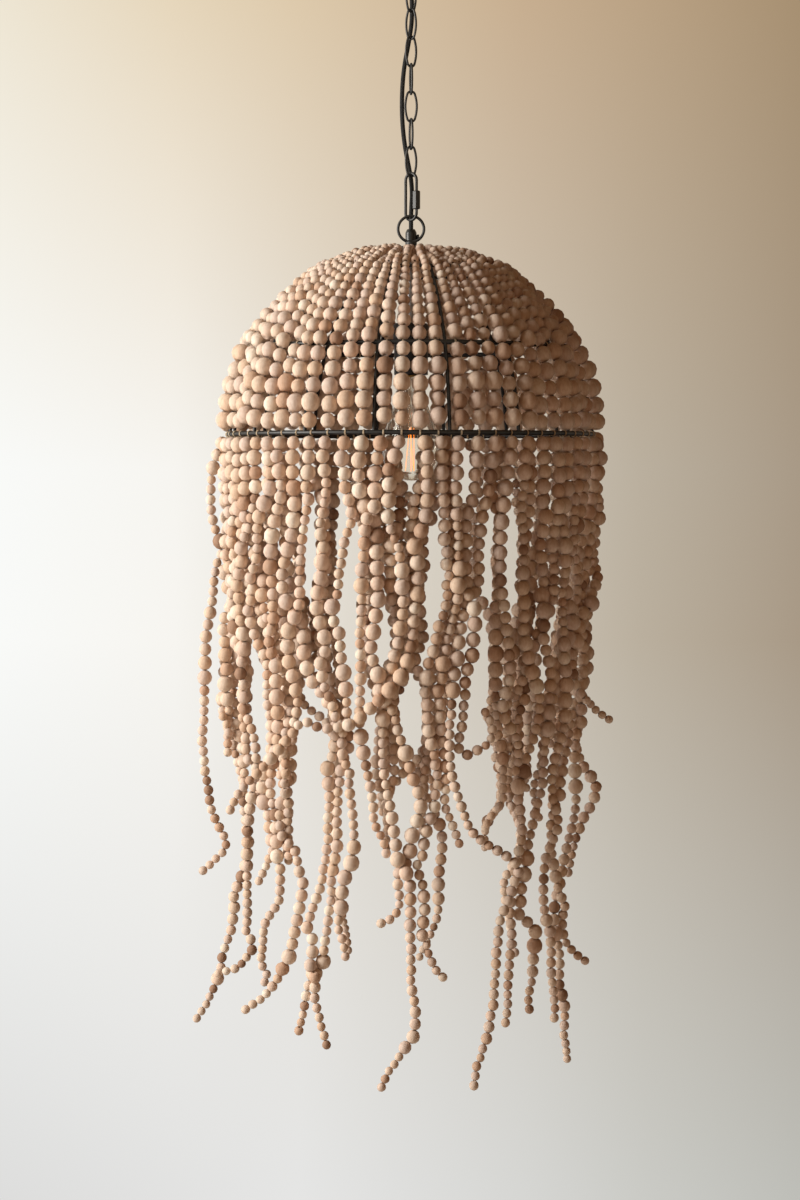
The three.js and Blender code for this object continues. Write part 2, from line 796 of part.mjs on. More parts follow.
function rib(angle) {
  const out = direction(angle);
  const side = direction(angle + 90);
  const rings = [];
  spans.forEach((curve, span) => {
    const steps = span === 0 ? 1 : 3;
    for (let step = span === 0 ? 0 : 1; step <= steps; step++) {
      const share = step / steps;
      const middle = curve.getPoint(share);
      const normal = outward(span, share);
      const half = ribWire / 2;
      const ring = [];
      for (let corner = 0; corner < ribSides; corner++) {
        const turn = ((corner + 0.5) / ribSides) * 2 * Math.PI;
        const lift = half * Math.SQRT2 * Math.sin(turn);
        const shift = half * Math.SQRT2 * Math.cos(turn);
        const point = out.clone().multiplyScalar(middle.x + normal.x * lift);
        point.addScaledVector(side, shift);
        point.z = hoopLevel + middle.y + normal.y * lift;
        ring.push(point);
      }
      rings.push(ring);
    }
  });
  return lofted(rings);
}

function domeFrame() {
  const pieces = [];
  pieces.push(hoop(lowerHoopRadius, 0, hoopWire));
  pieces.push(hoop(midHoopRadius, midHoopRise, hoopWire));
  pieces.push(hoop(upperHoopRadius, upperHoopRise, ribWire));
  pieces.push(rod(crownRadius, crownTop - crownThickness, crownTop, 32));
  for (let i = 0; i < ribCount; i++) {
    pieces.push(rib(((i + 0.5) * 360) / ribCount));
  }
  const low = crownTop - crownThickness - cutOverrun;
  const middle = rod(tubeRadius + gap, low, crownTop + cutOverrun, 16);
  const cordHole = rod(cordRadius + gap, low, crownTop + cutOverrun, 8, 0, gripReach);
  return cut(joined(pieces), [middle, cordHole]);
}

// Lines across a bay, from the crown down. A row of cells lies below each line but the last: rows of
// beads, and at each hoop a row of thread that joins the columns.
function beadLines() {
  const rows = [capRows, upperRows, lowerRows];
  const sizes = [
    [capBead, capBead],
    [upperSmallBead, upperLargeBead],
    [lowerBead, lowerBead],
  ];
  const lines = [];
  spans.forEach((curve, span) => {
    const length = curve.getLength();
    const [first, last] = sizes[span];
    const start = (span === 0 ? hubClear() : hoopTrim) / length;
    const end = 1 - (span === spans.length - 1 ? hoopWire / 2 + gap : hoopTrim) / length;
    for (let row = 0; row <= rows[span]; row++) {
      const along = row / rows[span];
      const grown = (along * (first + ((last - first) * along) / 2)) / ((first + last) / 2);
      const share = start + (end - start) * grown;
      const isThread = row === rows[span] && span < spans.length - 1;
      const bead = first + (last - first) * along;
      const atHoop = (row === 0 && span > 0) || isThread;
      lines.push({ span, share, bead, atHoop, isThread, isClosed: isThread || span === 0 });
    }
  });
  return lines;
}

// The beads start clear of the hub's edge
function hubClear() {
  return hubRadius + capBead / 2 - crownRadius + gap;
}

function skinPoint(line, angle, across, lift) {
  const middle = spans[line.span].getPoint(line.share);
  const normal = outward(line.span, line.share);
  const radius = middle.x + normal.x * lift;
  const edge = Math.asin((ribWire / 2 + ribGap) / middle.x) / DEG;
  const turn = angle + across * (180 / ribCount - edge);
  const point = direction(turn).multiplyScalar(radius);
  point.z = hoopLevel + middle.y + normal.y * lift;
  return point;
}

function lineLift(line, isFront) {
  if (line.atHoop) return beadStandoff + (isFront ? threadThickness : -threadThickness) / 2;
  return beadStandoff + (isFront ? valleyShare : -backShare) * (line.bead / 2);
}

// The edges of a bay's columns, as shares of half its width. Each second cell is a slot.
function columnEdges() {
  const width = 2 / columnsPerBay;
  const slot = (width * slotShare) / 2;
  const edges = [];
  for (let column = 0; column < columnsPerBay; column++) {
    const left = -1 + column * width;
    edges.push(column > 0 ? left + slot : left);
    edges.push(column < columnsPerBay - 1 ? left + width - slot : left + width);
  }
  return edges;
}

// Beads of one bay: columns of studded cells with a plain back, and slots between the columns
function beadPanel(angle) {
  const lines = beadLines();
  const edges = columnEdges();
  const points = [];
  const index = [];
  const put = (point) => points.push(point.x, point.y, point.z) / 3 - 1;
  const layer = (isFront) =>
    lines.map((line) => edges.map((across) => put(skinPoint(line, angle, across, lineLift(line, isFront)))));
  const front = layer(true);
  const back = layer(false);
  const isSolid = (row, cell) => {
    const isInside = row >= 0 && row < lines.length - 1 && cell >= 0 && cell < edges.length - 1;
    return isInside && (cell % 2 === 0 || lines[row].isClosed);
  };
  for (let row = 0; row < lines.length - 1; row++) {
    for (let cell = 0; cell < edges.length - 1; cell++) {
      if (!isSolid(row, cell)) continue;
      const corners = [
        [row, cell],
        [row + 1, cell],
        [row + 1, cell + 1],
        [row, cell + 1],
      ];
      const outer = corners.map(([i, j]) => front[i][j]);
      const inner = corners.map(([i, j]) => back[i][j]);
      if (cell % 2 === 0 && !lines[row].isThread) {
        const middle = { ...lines[row], share: (lines[row].share + lines[row + 1].share) / 2 };
        const across = (edges[cell] + edges[cell + 1]) / 2;
        const stud = put(skinPoint(middle, angle, across, beadStandoff + middle.bead / 2));
        outer.forEach((point, i) => index.push(stud, point, outer[(i + 1) % outer.length]));
      } else {
        quad(index, outer);
      }
      quad(index, [...inner].reverse());
      const beside = [
        [row, cell - 1],
        [row + 1, cell],
        [row, cell + 1],
        [row - 1, cell],
      ];
      beside.forEach(([i, j], side) => {
        const next = (side + 1) % beside.length;
        if (!isSolid(i, j)) quad(index, [outer[next], outer[side], inner[side], inner[next]]);
      });
    }
  }
  const geometry = new THREE.BufferGeometry();
  geometry.setAttribute('position', new THREE.Float32BufferAttribute(points, 3));
  geometry.setIndex(index);
  return toGeometry(toSolid(geometry));
}

function quad(index, [a, b, c, d]) {
  index.push(a, b, c, a, c, d);
}

// A string's distance from the axis as a share of its reach at the hoop: it draws in below the first
// course, and its lower half moves on to its tip's own share
function reachShare(leg, string, drop) {
  const gathered = gatherShares[leg][string];
  const end = dropShares[leg][string] * skirtDrop;
  const drawn = THREE.MathUtils.smoothstep(drop, gatherStart, gatherEnd);
  const swung = THREE.MathUtils.smoothstep(drop, Math.min(gatherEnd, end / 2), end);
  return 1 + (gathered - 1) * drawn + (tipShares[leg][string] - gathered) * swung;
}

// A string of the skirt: square sections at its stations, wide at the top, where the strings of a leg meet
function stringBody(leg, string) {
  const legAngle = (leg * 360) / legCount;
  const place = (string - (stringsPerLeg - 1) / 2) * stringPitch;
  const start = hoopWire / 2 + skirtGap;
  const straight = start + topBeadDrop;
  const end = dropShares[leg][string] * skirtDrop;
  const turns = stringTurns[leg][string];
  const sections = [
    { drop: start, turn: place, share: 1, half: topBeadHalf },
    { drop: straight, turn: place, share: 1, half: topBeadHalf },
    { drop: straight + smallBeadHalf, turn: place, share: 1, half: smallBeadHalf },
  ];
  turns.forEach((turn, i) => {
    const drop = straight + ((end - straight) * (i + 1)) / turns.length;
    const isLarge = i < turns.length - 1 && (i + string + leg) % 3 !== 0;
    const share = reachShare(leg, string, drop);
    sections.push({ drop, turn, share, half: isLarge ? largeBeadHalf : smallBeadHalf });
  });
  const corners = [
    [-1, -1],
    [1, -1],
    [1, 1],
    [-1, 1],
  ];
  const rings = sections.map(({ drop, turn, share, half }) => {
    const out = direction(legAngle + turn);
    const side = direction(legAngle + turn + 90);
    const middle = out.clone().multiplyScalar(skirtReach * share);
    middle.z = hoopLevel - drop;
    const deep = Math.min(half, largeBeadHalf);
    const corner = ([a, b]) => middle.clone().addScaledVector(side, a * half).addScaledVector(out, b * deep);
    return corners.map(corner);
  });
  return lofted(rings);
}

function skirtLeg(leg) {
  return joined(dropShares[leg].map((_, string) => stringBody(leg, string)));
}

// Assembly
addMesh('ceiling_plate', ceilingPlate(), zinc);
addMesh('ceiling_screw_left', ceilingScrew(-1), zinc);
addMesh('ceiling_screw_right', ceilingScrew(1), zinc);
addMesh('ceiling_canopy', ceilingCanopy(), iron);
addMesh('canopy_loop', canopyLoop(), iron);
linkTurns.forEach((turn, i) => {
  addMesh(`chain_link_${i + 1}`, chainLink(firstLink - linkPitch * i, turn), iron);
});
addMesh('quick_link', quickLink(), iron);
addMesh('quick_link_nut', quickLinkNut(), iron);
addMesh('hanging_ring', hangingRing(), iron);
addMesh('cord_grip', cordGrip(), blackPlastic);
addMesh('grip_screw', gripScrew(), blackPlastic);
addMesh('lamp_cord', tube(cordRoute, cordRadius, 8, 32), blackPlastic);
addMesh('top_hub', topHub(), iron);
addMesh('threaded_tube', threadedTube(), zinc);
addMesh('hex_nut', hexNut(), zinc);
addMesh('socket_cap', socketCap(), blackPlastic);
addMesh('socket_shell', socketShell(), blackPlastic);
addMesh('bulb_base', bulbBase(), brass);
addMesh('bulb_glass', bulbGlass(), clearGlass);
addMesh('bulb_filament', bulbFilament(), tungsten);
addMesh('dome_frame', domeFrame(), iron);
for (let bay = 0; bay < ribCount; bay++) {
  const name = `bead_panel_${String(bay + 1).padStart(2, '0')}`;
  addMesh(name, beadPanel((bay * 360) / ribCount), wood);
}
for (let leg = 0; leg < legCount; leg++) {
  addMesh(`skirt_leg_${leg + 1}`, skirtLeg(leg), wood);
}

export default group;
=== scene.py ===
"""Beaded chandelier: strings of turned wooden beads on a black iron frame, hung by a chain."""

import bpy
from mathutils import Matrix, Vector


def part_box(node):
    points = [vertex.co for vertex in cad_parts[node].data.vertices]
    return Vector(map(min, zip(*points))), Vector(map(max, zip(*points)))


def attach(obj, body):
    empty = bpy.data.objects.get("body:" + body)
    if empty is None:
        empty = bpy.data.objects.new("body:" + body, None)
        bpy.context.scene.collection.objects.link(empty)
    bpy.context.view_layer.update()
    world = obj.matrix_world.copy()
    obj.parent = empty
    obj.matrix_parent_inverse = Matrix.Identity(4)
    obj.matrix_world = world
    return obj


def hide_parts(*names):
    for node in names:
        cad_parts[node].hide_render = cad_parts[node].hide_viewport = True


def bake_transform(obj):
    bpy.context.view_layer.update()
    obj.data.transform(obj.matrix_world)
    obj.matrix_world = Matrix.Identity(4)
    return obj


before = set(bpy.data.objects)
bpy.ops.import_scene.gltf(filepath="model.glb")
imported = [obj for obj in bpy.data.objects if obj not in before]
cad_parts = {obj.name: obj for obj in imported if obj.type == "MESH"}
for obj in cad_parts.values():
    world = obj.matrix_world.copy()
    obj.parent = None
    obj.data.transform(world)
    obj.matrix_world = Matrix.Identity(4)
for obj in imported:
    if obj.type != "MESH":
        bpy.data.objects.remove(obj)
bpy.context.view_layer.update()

import math

import bmesh
import bpy
import numpy as np

MM = 0.001
UP = np.array([0, 0, 1])
rng = np.random.default_rng(7)

# Frame: sizes in millimetres, levels from the middle of the lower hoop's wire
HOOP_WIRE = 5.5
RIB_WIRE = 4.0
RIB_COUNT = 16
HOOP_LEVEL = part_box("dome_frame")[0][2] / MM + HOOP_WIRE / 2
# Radius and height where the dome's spans meet: the crown's edge and the upper, middle and lower hoops
SPAN_ENDS = np.array([(27, 205), (103, 182), (181, 96), (205, 0)], float)
HOOPS = tuple(zip(SPAN_ENDS[1:], (RIB_WIRE, HOOP_WIRE, HOOP_WIRE)))
# How far each span bulges outwards from its chord
BULGES = (1, 6, 4)

# Dome beads
COLUMNS_PER_BAY = 4
BAY_ANGLE = 360 / RIB_COUNT
# How far the middles of the beads lie outside the ribs' line
BEAD_LIFT = 3.0
# Degrees between the two columns on either side of each rib
RIB_GAPS = (6.9, 5.9, 5.7, 5.1, 5.3, 5.6, 5.2, 5.4, 5.1, 5.5, 5.2, 5.1, 5.3, 5.2, 5.3, 5.9)
# The diameters of a column's beads on each span, and the free run at the span's start and end
SPAN_SIZES = (np.full(8, 9.4), np.linspace(10, 16.6, 9), np.array([17, 18.2, 18.6, 18.6, 18.2]))
SPAN_STARTS = (2.0, 1.4, 0.3)
SPAN_STOPS = (1.4, 0.3, 1.9)
# How often a column passes in front of the upper and of the middle hoop instead of ending there
PASS_ODDS = (0.75, 0.7)
# The distance from the axis beyond which each of a bay's four columns has beads
COLUMN_STARTS = (30, 50, 36, 50)
# Neighbours on a string stand this share of their mean diameter apart
STRUNG = 0.985

# Skirt: eight legs of eight strings tied on the outside of the hoop and four on its inside
LEG_COUNT = 8
LEG_ANGLE = 360 / LEG_COUNT
LEG_STRINGS = 8
STRING_PITCH = 5.55
SKIRT_REACH = 209.5
SKIRT_DROP = 715.0
# The drop from point to point of a string's path, and the step of the fine curve through them
STRING_STEP = 12.0
FINE_STEP = 2.0
# The inner strings: distance from the axis, degrees from the leg's middle, and where they end as a
# share of the drop, for legs of even and of odd number
INNER_REACH = 197.0
INNER_PLACES = (-16.6, -6.6, 0.6, 11.5)
INNER_END_SHARES = ((0.5, 0.62, 0.44, 0.56), (0.58, 0.46, 0.66, 0.5))
# The share of its reach by which each leg draws in below the hoop
LEG_DRAWS = (0.045, 0.045, 0.06, 0.045, 0.045, 0.045, 0.03, 0.045)
# The drops between which the strings of a leg gather round its middle line, the bundle's radius there
# and at the tails, and the length of string over which a tip swings out
GATHER_START = 140.0
GATHER_END = 390.0
BUNDLE_RADIUS = 24.0
TAIL_BUNDLE = 15.0
TAIL_LENGTH = 170.0
# A leg's middle line at four shares of the drop: degrees aside, and the share of the reach
STATIONS = (0.42, 0.55, 0.72, 1)
LEG_TURNS = (
    (6, 4, -2, -4),
    (-6, -4, -4, -10),
    (-4, -6, -4, -2),
    (0, 4, 2, 4),
    (4, 0, -4, 0),
    (-2, -4, -8, -12),
    (4, 8, 2, 6),
    (14, 11, 11, 8),
)
LEG_REACHES = (
    (0.86, 0.84, 0.8, 0.8),
    (0.88, 0.84, 0.8, 0.76),
    (0.84, 0.8, 0.78, 0.8),
    (0.86, 0.82, 0.8, 0.82),
    (0.88, 0.86, 0.84, 0.8),
    (0.84, 0.84, 0.84, 0.9),
    (0.96, 0.9, 0.9, 0.92),
    (0.86, 0.84, 0.8, 0.8),
)
# Small, middling and large beads of the skirt: their diameters, and how many may follow each other.
# Then how likely each is down to a drop, and below it.
BEAD_RUNS = (((10.4, 12.4), (4, 9)), ((12.8, 15.2), (2, 5)), ((15.8, 18.8), (1, 3)))
UPPER_ODDS = (0.2, 0.32, 0.48)
LOWER_ODDS = (0.5, 0.27, 0.23)
ODDS_CHANGE = 280
# Degrees by which each leg's bundle twists on its way down, and each string's place round the bundle
LEG_TWISTS = (70, -60, 80, -75, 65, -80, 60, -70)
PHASES = (202.5, 157.5, 112.5, 247.5, 292.5, 67.5, 22.5, 337.5)
# For each leg's strings: where they end as a share of the drop
END_SHARES = (
    (0.79, 0.74, 0.64, 1, 0.5, 0.82, 0.68, 0.62),
    (1, 0.5, 0.9, 0.88, 0.56, 0.89, 0.6, 0.47),
    (0.45, 0.95, 0.8, 0.62, 0.4, 0.52, 0.6, 0.48),
    (0.62, 0.7, 0.6, 0.86, 0.64, 0.72, 0.6, 0.66),
    (0.6, 0.68, 0.88, 0.62, 0.7, 0.64, 0.66, 0.58),
    (0.6, 0.7, 0.62, 0.66, 0.86, 0.6, 0.72, 0.62),
    (0.46, 0.56, 0.5, 0.62, 0.68, 0.52, 0.9, 0.58),
    (0.5, 0.66, 0.82, 0.7, 0.83, 0.92, 0.88, 0.94),
)
# For each leg's strings: how far the tip swings aside, as a share of the reach
TAIL_SHARES = (
    (-0.1, -0.14, 0.04, -0.12, 0.12, 0.16, 0.18, 0.1),
    (-0.12, -0.16, 0, -0.08, 0.06, 0.04, 0.12, 0.1),
    (0.14, 0.04, 0.1, 0.08, 0.02, -0.04, 0.08, 0.12),
    (0.1, 0.06, 0.04, -0.06, 0, 0.08, 0.1, 0.04),
    (-0.08, 0.06, 0, -0.04, 0.06, 0.1, 0.04, -0.06),
    (0.06, 0.1, 0.02, 0.12, -0.04, 0.06, 0.08, 0),
    (0.16, 0.12, 0.04, 0.16, 0.06, 0.02, 0.1, 0.08),
    (-0.06, -0.12, -0.04, -0.16, 0.06, 0.04, 0.1, 0.08),
)

# How the photograph sees the lamp. In its pixels: the column of the lamp's axis and the row level with
# the eye. In millimetres: a pixel's size at the axis, and the eye's distance, side step and drop from
# the middle of the lower hoop. In degrees: how far the camera looks down.
AXIS_COLUMN = 411
EYE_ROW = 468
MM_PER_PIXEL = 1.125
EYE_DISTANCE = 3190
EYE_ASIDE = -12.4
EYE_BELOW = 38
EYE_TILT = 2.66

# Chain: the middle of the first link, the distance from link to link, and the quick link's middle
CHAIN_TOP = -78.5
CHAIN_PITCH = 30.5
QUICK_LINK_LEVEL = -331.35
LINK_TURNS = (-70, 35, -32, 28, 100, 5, 105, 25)

# Fittings: the level on which the hanging ring and the cord grip stand, how far behind the axis the
# cord goes through the grip, and the top and the length of the bulb's glass
SEAT_LEVEL = -387.4
GRIP_BEHIND = 13.4
GLASS_TOP = -532.8
GLASS_LENGTH = 116.0

# The cord's route from the lamp holder's cap up to the canopy, in metres
CORD_ROUTE = (
    (0, 0.0134, -0.484),
    (0, 0.0134, -0.430),
    (0, 0.0134, -0.374),
    (0, 0.0134, -0.363),
    (0, 0.013, -0.352),
    (0.0005, 0.012, -0.340),
    (0.001, 0.0112, -0.328),
    (0.0005, 0.0106, -0.316),
    (-0.001, 0.0102, -0.305),
    (-0.0035, 0.0096, -0.292),
    (-0.0062, 0.0088, -0.278),
    (-0.0084, 0.0076, -0.262),
    (-0.0098, 0.0064, -0.245),
    (-0.0102, 0.0058, -0.228),
    (-0.0098, 0.0058, -0.211),
    (-0.0086, 0.0062, -0.195),
    (-0.0066, 0.0076, -0.180),
    (-0.004, 0.0094, -0.166),
    (-0.0016, 0.0106, -0.152),
    (0.0004, 0.011, -0.138),
    (0.001, 0.0112, -0.122),
    (0.0006, 0.0118, -0.106),
    (0, 0.0132, -0.091),
    (0, 0.016, -0.076),
    (0, 0.0194, -0.062),
    (0, 0.0224, -0.049),
    (0, 0.0238, -0.040),
    (0, 0.024, -0.032),
    (0, 0.024, -0.022),
)
CORD_DIAMETER = 0.005
# Millimetres to one unit of the braid's pattern
BRAID_UNIT = 0.8

# Meshes: points closer than this are one, and edges shorter than this are dissolved, in metres
WELD = 1e-6
SLIVER = 1e-7


# Materials


def colour(code):
    """A hex sRGB colour as linear red, green, blue and alpha."""
    parts = [int(code[i : i + 2], 16) / 255 for i in (1, 3, 5)]
    linear = [c / 12.92 if c <= 0.04045 else ((c + 0.055) / 1.055) ** 2.4 for c in parts]
    return (*linear, 1.0)


def add_node(tree, kind, inputs=None, **settings):
    """A shader node with its settings, and its inputs set or linked."""
    node = tree.nodes.new(kind)
    for name, value in settings.items():
        setattr(node, name, value)
    for name, value in (inputs or {}).items():
        if isinstance(value, bpy.types.NodeSocket):
            tree.links.new(value, node.inputs[name])
        else:
            node.inputs[name].default_value = value
    return node


def finish_of(name, base, roughness, sockets=None):
    """A material with its Principled shader, whose other sockets are set by name."""
    material = bpy.data.materials.new(name)
    material.use_nodes = True
    shader = material.node_tree.nodes["Principled BSDF"]
    shader.inputs["Base Color"].default_value = colour(base)
    shader.inputs["Roughness"].default_value = roughness
    for socket, value in (sockets or {}).items():
        shader.inputs[socket].default_value = value
    return material, material.node_tree, shader


def ramp(tree, factor, stops):
    """A colour ramp through hex colours at the given places."""
    node = add_node(tree, "ShaderNodeValToRGB", {"Fac": factor})
    band = node.color_ramp.elements
    while len(band) < len(stops):
        band.new(0.5)
    for element, (place, code) in zip(band, stops):
        element.position = place
        element.color = colour(code)
    return node


def mottled(tree, shader, factor, stops):
    """The shader's colour follows a ramp over the factor."""
    tone = ramp(tree, factor, stops)
    tree.links.new(tone.outputs["Color"], shader.inputs["Base Color"])


def bump(tree, shader, height, distance, strength):
    """A bump of a height map, whose full height is the distance in metres."""
    inputs = {"Height": height, "Distance": distance, "Strength": strength}
    relief = add_node(tree, "ShaderNodeBump", inputs)
    tree.links.new(relief.outputs["Normal"], shader.inputs["Normal"])


def object_noise(tree, size, detail=3.0, stretch=(1, 1, 1)):
    """Noise on the object's own coordinates, with features of the given size in metres."""
    place = add_node(tree, "ShaderNodeTexCoord")
    mapping = add_node(tree, "ShaderNodeMapping", {"Vector": place.outputs["Object"], "Scale": stretch})
    inputs = {"Vector": mapping.outputs["Vector"], "Scale": 1 / size, "Detail": detail}
    return add_node(tree, "ShaderNodeTexNoise", inputs).outputs["Fac"]


def raw_wood():
    """Turned light wood, left raw: matt, with soft end grain, a tone of its own on each bead, and painted
    shade in the drilled hole at each end.
    """
    sockets = {"Specular IOR Level": 0.3}
    material, tree, shader = finish_of("raw_turned_wood", "#D9B592", 0.72, sockets)
    tint = add_node(tree, "ShaderNodeAttribute", attribute_name="tint")
    # The bore attribute marks the points round each drilled hole, which carry painted shade
    bore = add_node(tree, "ShaderNodeAttribute", attribute_name="bore")
    stops = [
        (0.0, "#A98A74"),
        (0.1, "#D2B29A"),
        (0.28, "#E5CCB4"),
        (0.45, "#EAD8C6"),
        (0.6, "#E0CDC0"),
        (0.75, "#EBD3C0"),
        (1.0, "#F4E8D8"),
    ]
    tone = ramp(tree, tint.outputs["Fac"], stops)
    # Pores and rays 1.5 mm long, drawn 2.2 mm wide and three times as long so that they show
    grain = object_noise(tree, 0.0022, 4.0, (1, 1, 0.35))
    shade = ramp(tree, grain, [(0.3, "#D9C6B8"), (0.7, "#FFFFFF")])
    inputs = {"Fac": 0.55, "Color1": tone.outputs["Color"], "Color2": shade.outputs["Color"]}
    grained = add_node(tree, "ShaderNodeMixRGB", inputs, blend_type="MULTIPLY")
    # Painted shade: the drilled hole at each end is painted dark brown, for the shade inside it
    inputs = {"Fac": bore.outputs["Fac"], "Color1": grained.outputs["Color"], "Color2": colour("#3E2616")}
    hole_shade_mix = add_node(tree, "ShaderNodeMixRGB", inputs)
    tree.links.new(hole_shade_mix.outputs["Color"], shader.inputs["Base Color"])
    bump(tree, shader, grain, 0.00012, 0.5)
    return material


def black_iron():
    """Iron wire with a thin black paint, satin, with the small runs of a dipped coat."""
    material, tree, shader = finish_of("black_painted_iron", "#0D0C0C", 0.45)
    runs = object_noise(tree, 0.003)
    mottled(tree, shader, runs, [(0.3, "#0A0909"), (0.75, "#151312")])
    bump(tree, shader, runs, 0.0001, 0.6)
    return material


def moulded_plastic():
    """Black moulded phenolic plastic: even, slightly glossy, with a faint moulded texture."""
    material, tree, shader = finish_of("black_moulded_plastic", "#0E0E0E", 0.36)
    bump(tree, shader, object_noise(tree, 0.0008), 0.00004, 0.5)
    return material


def woven_cord():
    """Black braided textile over the cord: diagonal yarns half a millimetre apart."""
    material, tree, shader = finish_of("black_braided_cord", "#121212", 0.8)
    place = add_node(tree, "ShaderNodeTexCoord")
    inputs = {"Vector": place.outputs["UV"], "Scale": 1.0, "Distortion": 0.6, "Detail": 1.0}
    bands = {"wave_type": "BANDS", "bands_direction": "DIAGONAL"}
    yarn = add_node(tree, "ShaderNodeTexWave", inputs, **bands).outputs["Fac"]
    mottled(tree, shader, yarn, [(0.2, "#060606"), (0.8, "#131212")])
    bump(tree, shader, yarn, 0.00015, 0.6)
    return material


def plated(name, base, roughness):
    """Thin plating over steel or brass: bright, with a fine brushed unevenness."""
    material, tree, shader = finish_of(name, base, roughness, {"Metallic": 1.0})
    bump(tree, shader, object_noise(tree, 0.0015, 3.0, (1, 1, 0.2)), 0.00003, 0.4)
    return material


def clear_glass():
    """Blown soda glass of a bulb: clear, thin and smooth."""
    sockets = {"Transmission Weight": 1.0, "IOR": 1.45}
    material, tree, shader = finish_of("clear_bulb_glass", "#FFFDF8", 0.02, sockets)
    bump(tree, shader, object_noise(tree, 0.03, 1.0), 0.0002, 0.2)
    return material


def glowing_filament():
    """Carbon filament at work: an even orange glow."""
    sockets = {"Emission Color": colour("#FF8A2A"), "Emission Strength": 2.4}
    material, tree, shader = finish_of("glowing_carbon_filament", "#FFB35C", 0.5, sockets)
    mottled(tree, shader, object_noise(tree, 0.01, 1.0), [(0.2, "#FF8A2E"), (0.8, "#FFC070")])
    return material


def cotton_thread():
    """Waxed cotton thread: pale and dull, with a twist."""
    material, tree, shader = finish_of("waxed_cotton_thread", "#D8C6A8", 0.85)
    mottled(tree, shader, object_noise(tree, 0.0007), [(0.3, "#BFA987"), (0.7, "#E6D8BE")])
    return material


WOOD = raw_wood()
IRON = black_iron()
PLASTIC = moulded_plastic()
BRAID = woven_cord()
ZINC = plated("zinc_plated_steel", "#B8BABC", 0.38)
BRASS = plated("stamped_brass", "#C9A25A", 0.32)
GLASS = clear_glass()
GLOW = glowing_filament()
THREAD = cotton_thread()


# Meshes


def new_piece(name, points, quads, ends=(), material=None, smooth=True, uv=None):
    """A mesh object from points in millimetres, quads as rows of four, and ends as rows of any length."""
    mesh = bpy.data.meshes.new(name)
    quads = np.asarray(quads, np.int32).reshape(-1, 4)
    ends = [np.asarray(end, np.int32).ravel() for end in ends]
    loops = np.concatenate([quads.ravel(), *ends]) if ends else quads.ravel()
    totals = np.concatenate([np.full(len(quads), 4), [len(end) for end in ends]]).astype(np.int32)
    starts = np.concatenate([[0], np.cumsum(totals)[:-1]]).astype(np.int32)
    points = np.asarray(points, np.float64) * MM
    mesh.vertices.add(len(points))
    mesh.vertices.foreach_set("co", points.astype(np.float32).ravel())
    mesh.loops.add(len(loops))
    mesh.loops.foreach_set("vertex_index", loops.astype(np.int32))
    mesh.polygons.add(len(totals))
    mesh.polygons.foreach_set("loop_start", starts)
    mesh.polygons.foreach_set("loop_total", totals)
    mesh.update(calc_edges=True)
    mesh.polygons.foreach_set("use_smooth", np.full(len(totals), smooth))
    if uv is not None:
        layer = mesh.uv_layers.new(name="along")
        layer.data.foreach_set("uv", np.asarray(uv, np.float32)[loops].ravel())
    mesh.materials.append(material)
    piece = bpy.data.objects.new(name, mesh)
    bpy.context.collection.objects.link(piece)
    return piece


def tidy_mesh(piece, sharp=35):
    """Merges doubled points, turns every face outwards, and marks edges past an angle as sharp."""
    work = bmesh.new()
    work.from_mesh(piece.data)
    bmesh.ops.remove_doubles(work, verts=work.verts, dist=WELD)
    bmesh.ops.dissolve_degenerate(work, edges=work.edges, dist=SLIVER)
    bmesh.ops.recalc_face_normals(work, faces=work.faces)
    for edge in work.edges:
        edge.smooth = len(edge.link_faces) == 2 and edge.calc_face_angle(0) < math.radians(sharp)
    work.to_mesh(piece.data)
    work.free()


def grid_quads(rows, columns, wrap_rows=False):
    """The quads of a grid of points, joined round its columns and, where asked, round its rows."""
    last_row = rows if wrap_rows else rows - 1
    row, column = np.meshgrid(np.arange(last_row), np.arange(columns), indexing="ij")
    here, under = row * columns, (row + 1) % rows * columns
    beside = (column + 1) % columns
    corners = (here + column, here + beside, under + beside, under + column)
    return np.stack(corners, -1).reshape(-1, 4)


def bent_tube(path, radius, sides=12, closed=False, across=(0, 1, 0)):
    """A round section carried along a path: point = path + radius (cos v side + sin v up), where side
    is square to the path and to the given direction."""
    path = np.asarray(path, float)
    if closed:
        along = np.roll(path, -1, 0) - np.roll(path, 1, 0)
    else:
        along = np.gradient(path, axis=0)
    along /= np.linalg.norm(along, axis=1)[:, None]
    side = np.cross(along, np.broadcast_to(np.asarray(across, float), along.shape))
    side /= np.linalg.norm(side, axis=1)[:, None]
    up = np.cross(side, along)
    turn = np.arange(sides) * 2 * np.pi / sides
    radius = np.broadcast_to(radius, len(path))[:, None, None]
    ring = np.cos(turn)[None, :, None] * side[:, None] + np.sin(turn)[None, :, None] * up[:, None]
    points = (path[:, None] + radius * ring).reshape(-1, 3)
    quads = grid_quads(len(path), sides, wrap_rows=closed)
    if closed:
        return points, quads, []
    first = np.arange(sides)
    return points, quads, [first, (len(path) - 1) * sides + first[::-1]]


def run_along(path):
    """The length of path before each of its points."""
    return np.concatenate([[0], np.cumsum(np.linalg.norm(np.diff(path, axis=0), axis=1))])


def sampled(values, run, places):
    """Rows of values given along a run, taken at other places along it."""
    return np.stack([np.interp(places, run, column) for column in values.T], -1)


def distinct(points, apart):
    """The points without those that lie no further than this from the one before."""
    return points[np.diff(run_along(points), prepend=-1) > apart]


def turned(outline, segments=40, centre=(0, 0)):
    """A body of revolution: an outline of radius and level, closed on itself or on the axis, turned
    about an upright line."""
    outline = np.asarray(outline, float)
    turn = np.arange(segments) * 2 * np.pi / segments
    x = centre[0] + outline[:, :1] * np.cos(turn)
    y = centre[1] + outline[:, :1] * np.sin(turn)
    z = np.broadcast_to(outline[:, 1:], x.shape)
    points = np.stack([x, y, z], -1).reshape(-1, 3)
    return points, grid_quads(len(outline), segments, wrap_rows=outline[0, 0] > 0), []


